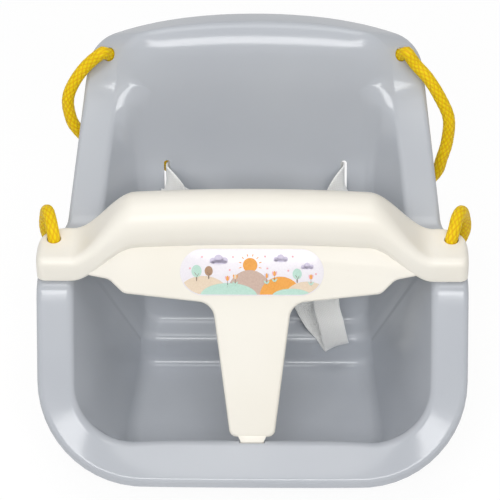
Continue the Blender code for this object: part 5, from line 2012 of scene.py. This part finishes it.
# Belt and buckle
@dataclass
class Buckle:
    """The side-release buckle that joins the two ends of the belt, and its own directions."""

    x: float = -0.008
    height: float = 0.115
    slope: float = radians(50)
    width: float = 0.034
    thickness: float = 0.012
    wall: float = 0.002
    socket_length: float = 0.034
    base_length: float = 0.019
    belt_slot: float = 0.0035
    belt_width: float = 0.025
    belt_play: float = 0.0008
    clearance: float = 0.0005
    past: float = 0.001
    edge: float = 0.0011
    socket_corner: float = 0.004
    window: tuple[float, float] = (-0.018, -0.006)
    window_half: float = 0.0025
    dish: tuple[float, float] = (-0.020, -0.005)
    dish_half: float = 0.007
    dish_depth: float = 0.0004
    base_thickness: float = 0.010
    base_corner: float = 0.003
    prong_length: float = 0.020
    prong_width: float = 0.006
    keel_length: float = 0.016
    keel_half: float = 0.002

    @property
    def along(self) -> Vector:
        """Direction from the socket to the tongue's base."""
        return BACK.sloping(self.slope)[0]

    @property
    def across(self) -> Vector:
        """Direction across the buckle, up the back."""
        return BACK.sloping(self.slope)[1]

    def point(self, along: float, across: float, off: float) -> Vector:
        """A point along the buckle's axis from the joint, across it, and off the back."""
        joint = BACK.point(self.x, self.height, self.clearance)
        return joint + self.along * along + self.across * across + BACK.out * off

    def block(
        self, low: Sequence[float], high: Sequence[float], radius: float = 0.0, steps: int = 6
    ) -> list[Points]:
        """A block in the buckle's directions, its upright edges rounded.

        Args:
            low: Its lowest corner.
            high: Its highest corner.
            radius: Radius of the edges.
            steps: Spans of each one's arc.

        Returns:
            Its two end rings.
        """
        corners = [Vector((x, y, 0)) for x, y in rectangle(low, high)]
        loop = rounded_loop(corners, [radius] * 4, [steps if radius else 0] * 4)
        return [[self.point(point.x, point.y, off) for point in loop] for off in (low[2], high[2])]

    def belt_cut(self, start: float) -> list[Points]:
        """A slot right through the buckle for the belt, from start along its axis."""
        half, high = self.belt_width / 2 + self.belt_play, self.thickness + self.past
        return self.block((start, -half, -self.past), (start + self.belt_slot, half, high))

    def socket(self) -> Mesh:
        """The half with the spring windows, open towards the tongue.

        Returns:
            Its mesh.
        """
        half, length, thick, past = self.width / 2, self.socket_length, self.thickness, self.past
        body = self.block((-length, -half, 0), (0, half, thick), self.socket_corner, 8)
        mesh = rounded_edges(lofted("buckle_socket", [body]), self.edge, 3)
        slot = -length + 0.004
        low = (slot + self.belt_slot + 0.003, self.wall - half, self.wall)
        tools = [self.block(low, (past, half - self.wall, thick - self.wall)), self.belt_cut(slot)]
        near, far = self.window
        bottom, top = thick / 2 - self.window_half, thick / 2 + self.window_half
        for start in (-half - past, half - 2 * self.wall):
            tools.append(self.block((near, start, bottom), (far, start + 2 * self.wall + past, top)))
        # Shallow thumb dish on the upper face
        near, far = self.dish
        low, high = (near, -self.dish_half, thick - self.dish_depth), (far, self.dish_half, thick + past)
        tools.append(self.block(low, high, self.socket_corner))
        return cut(mesh, [lofted("tool", [tool]) for tool in tools], "DIFFERENCE")

    def tongue(self) -> Mesh:
        """The half that pulls out: a base with two slots for the belt, two prongs and a keel.

        Returns:
            Its mesh.
        """
        half, low = self.width / 2, (self.thickness - self.base_thickness) / 2
        high = (self.base_length, half, low + self.base_thickness)
        body = self.block((REST_GAP, -half, low), high, self.base_corner, 8)
        mesh = rounded_edges(lofted("buckle_tongue", [body]), 0.0010, 3)
        # Prongs and keel stand clear of the socket's walls and reach into the base
        low, root = self.wall + 0.0004, 0.003
        high, reach, keel = self.thickness - low, half - low, self.keel_half
        tools = [
            self.block((-self.prong_length, near, low), (root, near + self.prong_width, high), 0.0015)
            for near in (-reach, reach - self.prong_width)
        ]
        tools.append(self.block((-self.keel_length, -keel, low), (root, keel, high), 0.001))
        mesh = cut(mesh, [lofted("prongs", tools)], "UNION")
        first = 0.006
        starts = (first, first + self.belt_slot + 0.0025)
        return cut(mesh, [lofted("slot", [self.belt_cut(start)]) for start in starts], "DIFFERENCE")

    def build(self, finishes: Finishes) -> list[Piece]:
        """Builds and dresses both halves.

        Args:
            finishes: The seat's materials.

        Returns:
            Socket and tongue.
        """
        made = []
        halves = (("buckle_socket", self.socket(), Body.SEAT), ("buckle_tongue", self.tongue(), Body.TONGUE))
        for node, mesh, body in halves:
            shade(mesh, 38)
            piece = add_piece(node + "_moulding", mesh, [finishes["buckle"]])
            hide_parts(node)
            made.append(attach(piece, body.value))
        return made


@dataclass
class Belt:
    """The webbing belt: a left end, a right end with its slack over the ledge, and the run behind."""

    buckle: Buckle
    width: float = 0.025
    thickness: float = 0.0016
    left_slope: float = radians(72)
    left_turn: float = 0.022
    right_turn: float = 0.028

    def strap(self, name: str, run: tuple[Points, Points], steps: int, finish: Material) -> Piece:
        """A strap along a smooth curve, with a UV map of metres across and along it.

        Args:
            name: Name of the piece.
            run: Points of its middle line, and the direction of its width at each.
            steps: Rings for each span.
            finish: Its material.

        Returns:
            The piece.
        """
        line, sides = [cord_line(points, steps) for points in run]
        half, thick = self.width / 2, self.thickness / 2
        # How far the profile is flat, as a share of half its width, and where its eased edge lies
        flat, edge, eased = 0.955, 0.99 * half, 0.65 * thick
        profile = [(half * share, thick) for share in np.linspace(-flat, flat, 12)]
        profile += [(edge, eased), (half, 0.0), (edge, -eased)]
        profile += [(half * share, -thick) for share in np.linspace(flat, -flat, 12)]
        profile += [(-edge, -eased), (-half, 0.0), (-edge, eased)]
        rings: list[Points] = []
        lengths = [0.0]
        for index, point in enumerate(line):
            if index:
                lengths.append(lengths[-1] + (point - line[index - 1]).length)
            ahead = (line[min(index + 1, len(line) - 1)] - line[max(index - 1, 0)]).normalized()
            across = (sides[index] - ahead * sides[index].dot(ahead)).normalized()
            face = ahead.cross(across)
            rings.append([point + across * wide + face * high for wide, high in profile])
        places = [wide for wide, _ in profile]
        mesh = swept_mesh(name, rings, places + places[:1], lengths, places, 1)
        shade(mesh, 60)
        piece = add_piece(name, mesh, [finish])
        return piece

    @staticmethod
    def frame(heading: Vector, across: Vector) -> Quaternion:
        """The turn that carries x to a strap's heading and y to the direction of its width."""
        return Matrix((heading, across, heading.cross(across))).transposed().to_quaternion()

    def slot_run(self, x: float, heading: Vector, across: Vector, length: float) -> tuple[Points, Points]:
        """The start of a strap, from inside its slot to where it has turned.

        Args:
            x: Where the slot is.
            heading: Where the strap heads then.
            across: Direction of its width then.
            length: Length of the turn.

        Returns:
            Its points, and its width's direction at each.
        """
        first, last, steps = self.frame(BACK.out, BACK.up), self.frame(heading, across), 6
        inside = BACK.point(x, SLOTS.height, -WALL / 2 + REST_GAP)
        points = [inside, inside + BACK.out * 0.0055]
        widths = [BACK.up, BACK.up]
        for step in range(steps):
            turn = first.slerp(last, (step + 0.5) / steps)
            points.append(points[-1] + turn @ Vector((length / steps, 0, 0)))
            widths.append(first.slerp(last, (step + 1) / steps) @ Vector((0, 1, 0)))
        return points, widths

    def left_run(self) -> tuple[Points, Points]:
        """From the left slot to the buckle's socket.

        Returns:
            Its points and widths.
        """
        buckle = self.buckle
        end = buckle.point(-buckle.socket_length - REST_GAP, 0, buckle.thickness / 2)
        route, widths = self.slot_run(-SLOTS.x, *BACK.sloping(self.left_slope), self.left_turn)
        arrival = end - buckle.along * 0.008
        route += [route[-1].lerp(arrival, share) for share in (0.4, 1.0)]
        route += [end, end + buckle.along * 0.005]
        return route, widths + [buckle.across] * 4

    def right_run(self) -> tuple[Points, Points]:
        """From the right slot down over the ledge and back up to the buckle's tongue.

        Returns:
            Its points and widths.
        """
        buckle, x, height = self.buckle, SLOTS.x, SLOTS.height
        end = buckle.point(buckle.base_length + REST_GAP, 0, buckle.thickness / 2)
        ledge = Vector((x, SeatShell.ledge_start, SeatShell.ledge_height))
        route, widths = self.slot_run(x, -BACK.up, Vector((-1, 0, 0)), self.right_turn)
        route += [
            BACK.point(x - 0.007, height - 0.026, 0.0205),
            BACK.point(x - 0.009, height - 0.042, 0.0195),
            BACK.point(x - 0.012, height - 0.068, 0.018),
            ledge + Vector((-0.016, 0.008, 0.044)),
            ledge + Vector((-0.011, -0.006, 0.024)),
            ledge + Vector((-0.007, -0.011, 0.006)),
            ledge + Vector((-0.006, -0.009, -0.001)),
            ledge + Vector((-0.009, -0.003, -0.0015)),
            ledge + Vector((-0.015, 0.005, 0.0025)),
            ledge + Vector((-0.025, 0.018, 0.0045)),
            BACK.point(0.046, 0.064, 0.006),
            BACK.point(0.030, 0.080, 0.005),
            end + buckle.along * 0.008,
            end,
            end - buckle.along * 0.004,
        ]
        hanging = [Vector((-0.98, 0.00, -0.05))] * 3 + [Vector((-0.96, -0.05, -0.27))] * 2
        fold = [Vector((-0.93, -0.02, -0.36))] * 3
        flat = [Vector((-0.86, -0.45, -0.20)), Vector((-0.79, -0.60, -0.08))]
        return route, widths + hanging + fold + flat + [-buckle.across] * 5

    def back_run(self) -> tuple[Points, Points]:
        """Behind the back, from slot to slot.

        Returns:
            Its points and widths.
        """
        x, height = SLOTS.x, SLOTS.height
        depth = -WALL - self.thickness / 2 - 2 * REST_GAP
        half = [
            (x, -WALL / 2 - REST_GAP), (x, -WALL - REST_GAP), (x - 0.0018, depth - 0.0012),
            (x - 0.006, depth - 0.0008), (x - 0.015, depth), (x - 0.050, depth),
        ]
        route = [BACK.point(-across, height, off) for across, off in half]
        route += [BACK.point(across, height, off) for across, off in half[::-1]]
        return route, [BACK.up] * len(route)

    def build(self, finishes: Finishes) -> list[Piece]:
        """Builds and dresses the belt's three runs.

        Args:
            finishes: The seat's materials.

        Returns:
            Left end, right end and back.
        """
        finish = finishes["belt"]
        left = self.strap("belt_left_webbing", self.left_run(), 5, finish)
        right = self.strap("belt_right_webbing", self.right_run(), 6, finish)
        back = self.strap("belt_back_webbing", self.back_run(), 4, finish)
        for piece, node in ((left, "belt_left"), (right, "belt_right"), (back, "belt_back")):
            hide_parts(node)
        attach(left, Body.SEAT.value)
        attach(back, Body.SEAT.value)
        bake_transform(right)
        return [left, right, back]


# Studio
@dataclass(frozen=True)
class Softbox:
    """A soft lamp: where it hangs, how wide and how high it is, and its power in watts."""

    name: str
    place: tuple[float, float, float]
    size: tuple[float, float]
    power: float


@dataclass
class Studio:
    """Pale floor, white surroundings, soft lamps and the camera at the photograph's angle."""

    target: Vector = field(default_factory=lambda: Vector((0, 0, 0.160)))
    distance: float = 2.0
    # Degrees
    azimuth: float = 1.84
    elevation: float = 40.86
    roll: float = -1.04
    # Millimetres
    sensor: float = 36.0
    # Pixels: the focal length, where the camera's axis meets the picture, and the picture's side
    focal: float = 2132.3
    centre: tuple[float, float] = (253.77, 264.08)
    frame: int = 500
    world_light: float = 0.24
    floor_glow: float = 1.04
    glow_share: float = 0.88
    floor_half: float = 6.0
    floor_drop: float = 0.0004
    lamps: tuple[Softbox, ...] = (
        Softbox("front_softbox", (0.0, -1.82, 1.73), (1.8, 0.7), 28.0),
        Softbox("overhead_softbox", (0.0, -0.15, 2.35), (1.6, 1.4), 14.5),
        Softbox("rear_softbox", (0.0, 1.10, 2.07), (1.6, 1.0), 2.7),
        Softbox("left_softbox", (-1.35, -0.78, 1.72), (1.0, 1.2), 2.3),
    )

    def camera(self) -> Piece:
        """Places the camera.

        Returns:
            The scene's camera.
        """
        turn, lift, roll = radians(self.azimuth), radians(self.elevation), radians(self.roll)
        toward = Vector((sin(turn) * cos(lift), -cos(turn) * cos(lift), sin(lift)))
        right = Vector((cos(turn), sin(turn), 0))
        up = right.cross(-toward)
        right, up = right * cos(roll) + up * sin(roll), up * cos(roll) - right * sin(roll)
        lens = bpy.data.cameras.new("camera")
        lens.sensor_width = self.sensor
        lens.lens = self.sensor * self.focal / self.frame
        lens.shift_x = -(self.centre[0] - self.frame / 2) / self.frame
        lens.shift_y = (self.centre[1] - self.frame / 2) / self.frame
        camera = link("camera", lens)
        turned = Matrix((right, up, toward)).transposed().to_4x4()
        camera.matrix_world = Matrix.Translation(self.target + toward * self.distance) @ turned
        bpy.context.scene.camera = camera
        return camera

    def hang(self, lamp: Softbox) -> None:
        """Hangs a lamp so that it faces the seat.

        Args:
            lamp: The lamp to hang.
        """
        light = bpy.data.lights.new(lamp.name, "AREA")
        light.shape = "RECTANGLE"
        light.size, light.size_y = lamp.size
        light.energy = lamp.power
        piece = link(lamp.name, light)
        piece.location = lamp.place
        piece.rotation_euler = (self.target - Vector(lamp.place)).to_track_quat("-Z", "Y").to_euler()

    @staticmethod
    def seen_directly(tree: Tree) -> Socket:
        """Tells what the camera sees itself, in a reflection or through something clear.

        Args:
            tree: The tree that takes the nodes.

        Returns:
            A socket that is 1 there and else 0.
        """
        seen = add_node(tree, "LightPath", out="Is Camera Ray")
        for ray in ("Is Glossy Ray", "Is Transmission Ray"):
            seen = add_node(tree, "Math", (seen, add_node(tree, "LightPath", out=ray)), operation="MAXIMUM")
        return seen

    def surroundings(self) -> None:
        """White to the camera and in reflections, softer as light on the object."""
        world = bpy.data.worlds.new("studio")
        bpy.context.scene.world = world
        world.use_nodes = True
        tree = world.node_tree
        seen = self.seen_directly(tree)
        strength = add_node(tree, "MapRange", (seen, 0.0, 1.0, self.world_light, 1.0))
        fill(tree.nodes["Background"], {"Color": (1.0, 1.0, 1.0, 1.0), "Strength": strength})

    def floor(self) -> Piece:
        """A wide pale floor that keeps the seat's soft shadow.

        Returns:
            The floor.
        """
        mesh = bpy.data.meshes.new("floor")
        half = self.floor_half
        corners = [(x, y, 0) for x, y in rectangle((-half, -half), (half, half))]
        mesh.from_pydata(corners, [], [(0, 1, 2, 3)])
        piece = link("floor", mesh)
        piece.location.z = -self.floor_drop
        material, tree, shader = start_material("matt_paper_white")
        fill(shader, {"Base Color": linear("#FAFAFA"), "Roughness": 0.9, "Specular IOR Level": 0.1})
        glow = add_node(tree, "Emission", {"Color": (1.0, 1.0, 1.0, 1.0), "Strength": self.floor_glow})
        share = add_node(tree, "Math", (self.seen_directly(tree), self.glow_share), operation="MULTIPLY")
        mixed = add_node(tree, "MixShader", (share, shader.outputs[0], glow))
        fill(tree.nodes["Material Output"], {"Surface": mixed})
        mesh.materials.append(material)
        return piece

    def build(self) -> None:
        """Sets up the camera, light and floor."""
        self.camera()
        self.surroundings()
        self.floor()
        for lamp in self.lamps:
            self.hang(lamp)
        bpy.context.scene.view_settings.view_transform = "Standard"


def main() -> None:
    """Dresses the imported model."""
    logging.basicConfig(level=logging.INFO, format="%(message)s")
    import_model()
    Studio().build()
    finishes = Palette().build()
    bar = SafetyBar()
    buckle = Buckle()
    sub_assemblies = [SwingRope(side) for side in Side]
    sub_assemblies += [SeatShell(), bar, PlateLabel(bar), Belt(buckle), buckle]
    for sub_assembly in sub_assemblies:
        made = sub_assembly.build(finishes)
        for piece in made if isinstance(made, list) else [made]:
            LOG.info("%s: %s", type(sub_assembly).__name__, piece.name)


if __name__ == "__main__":
    main()
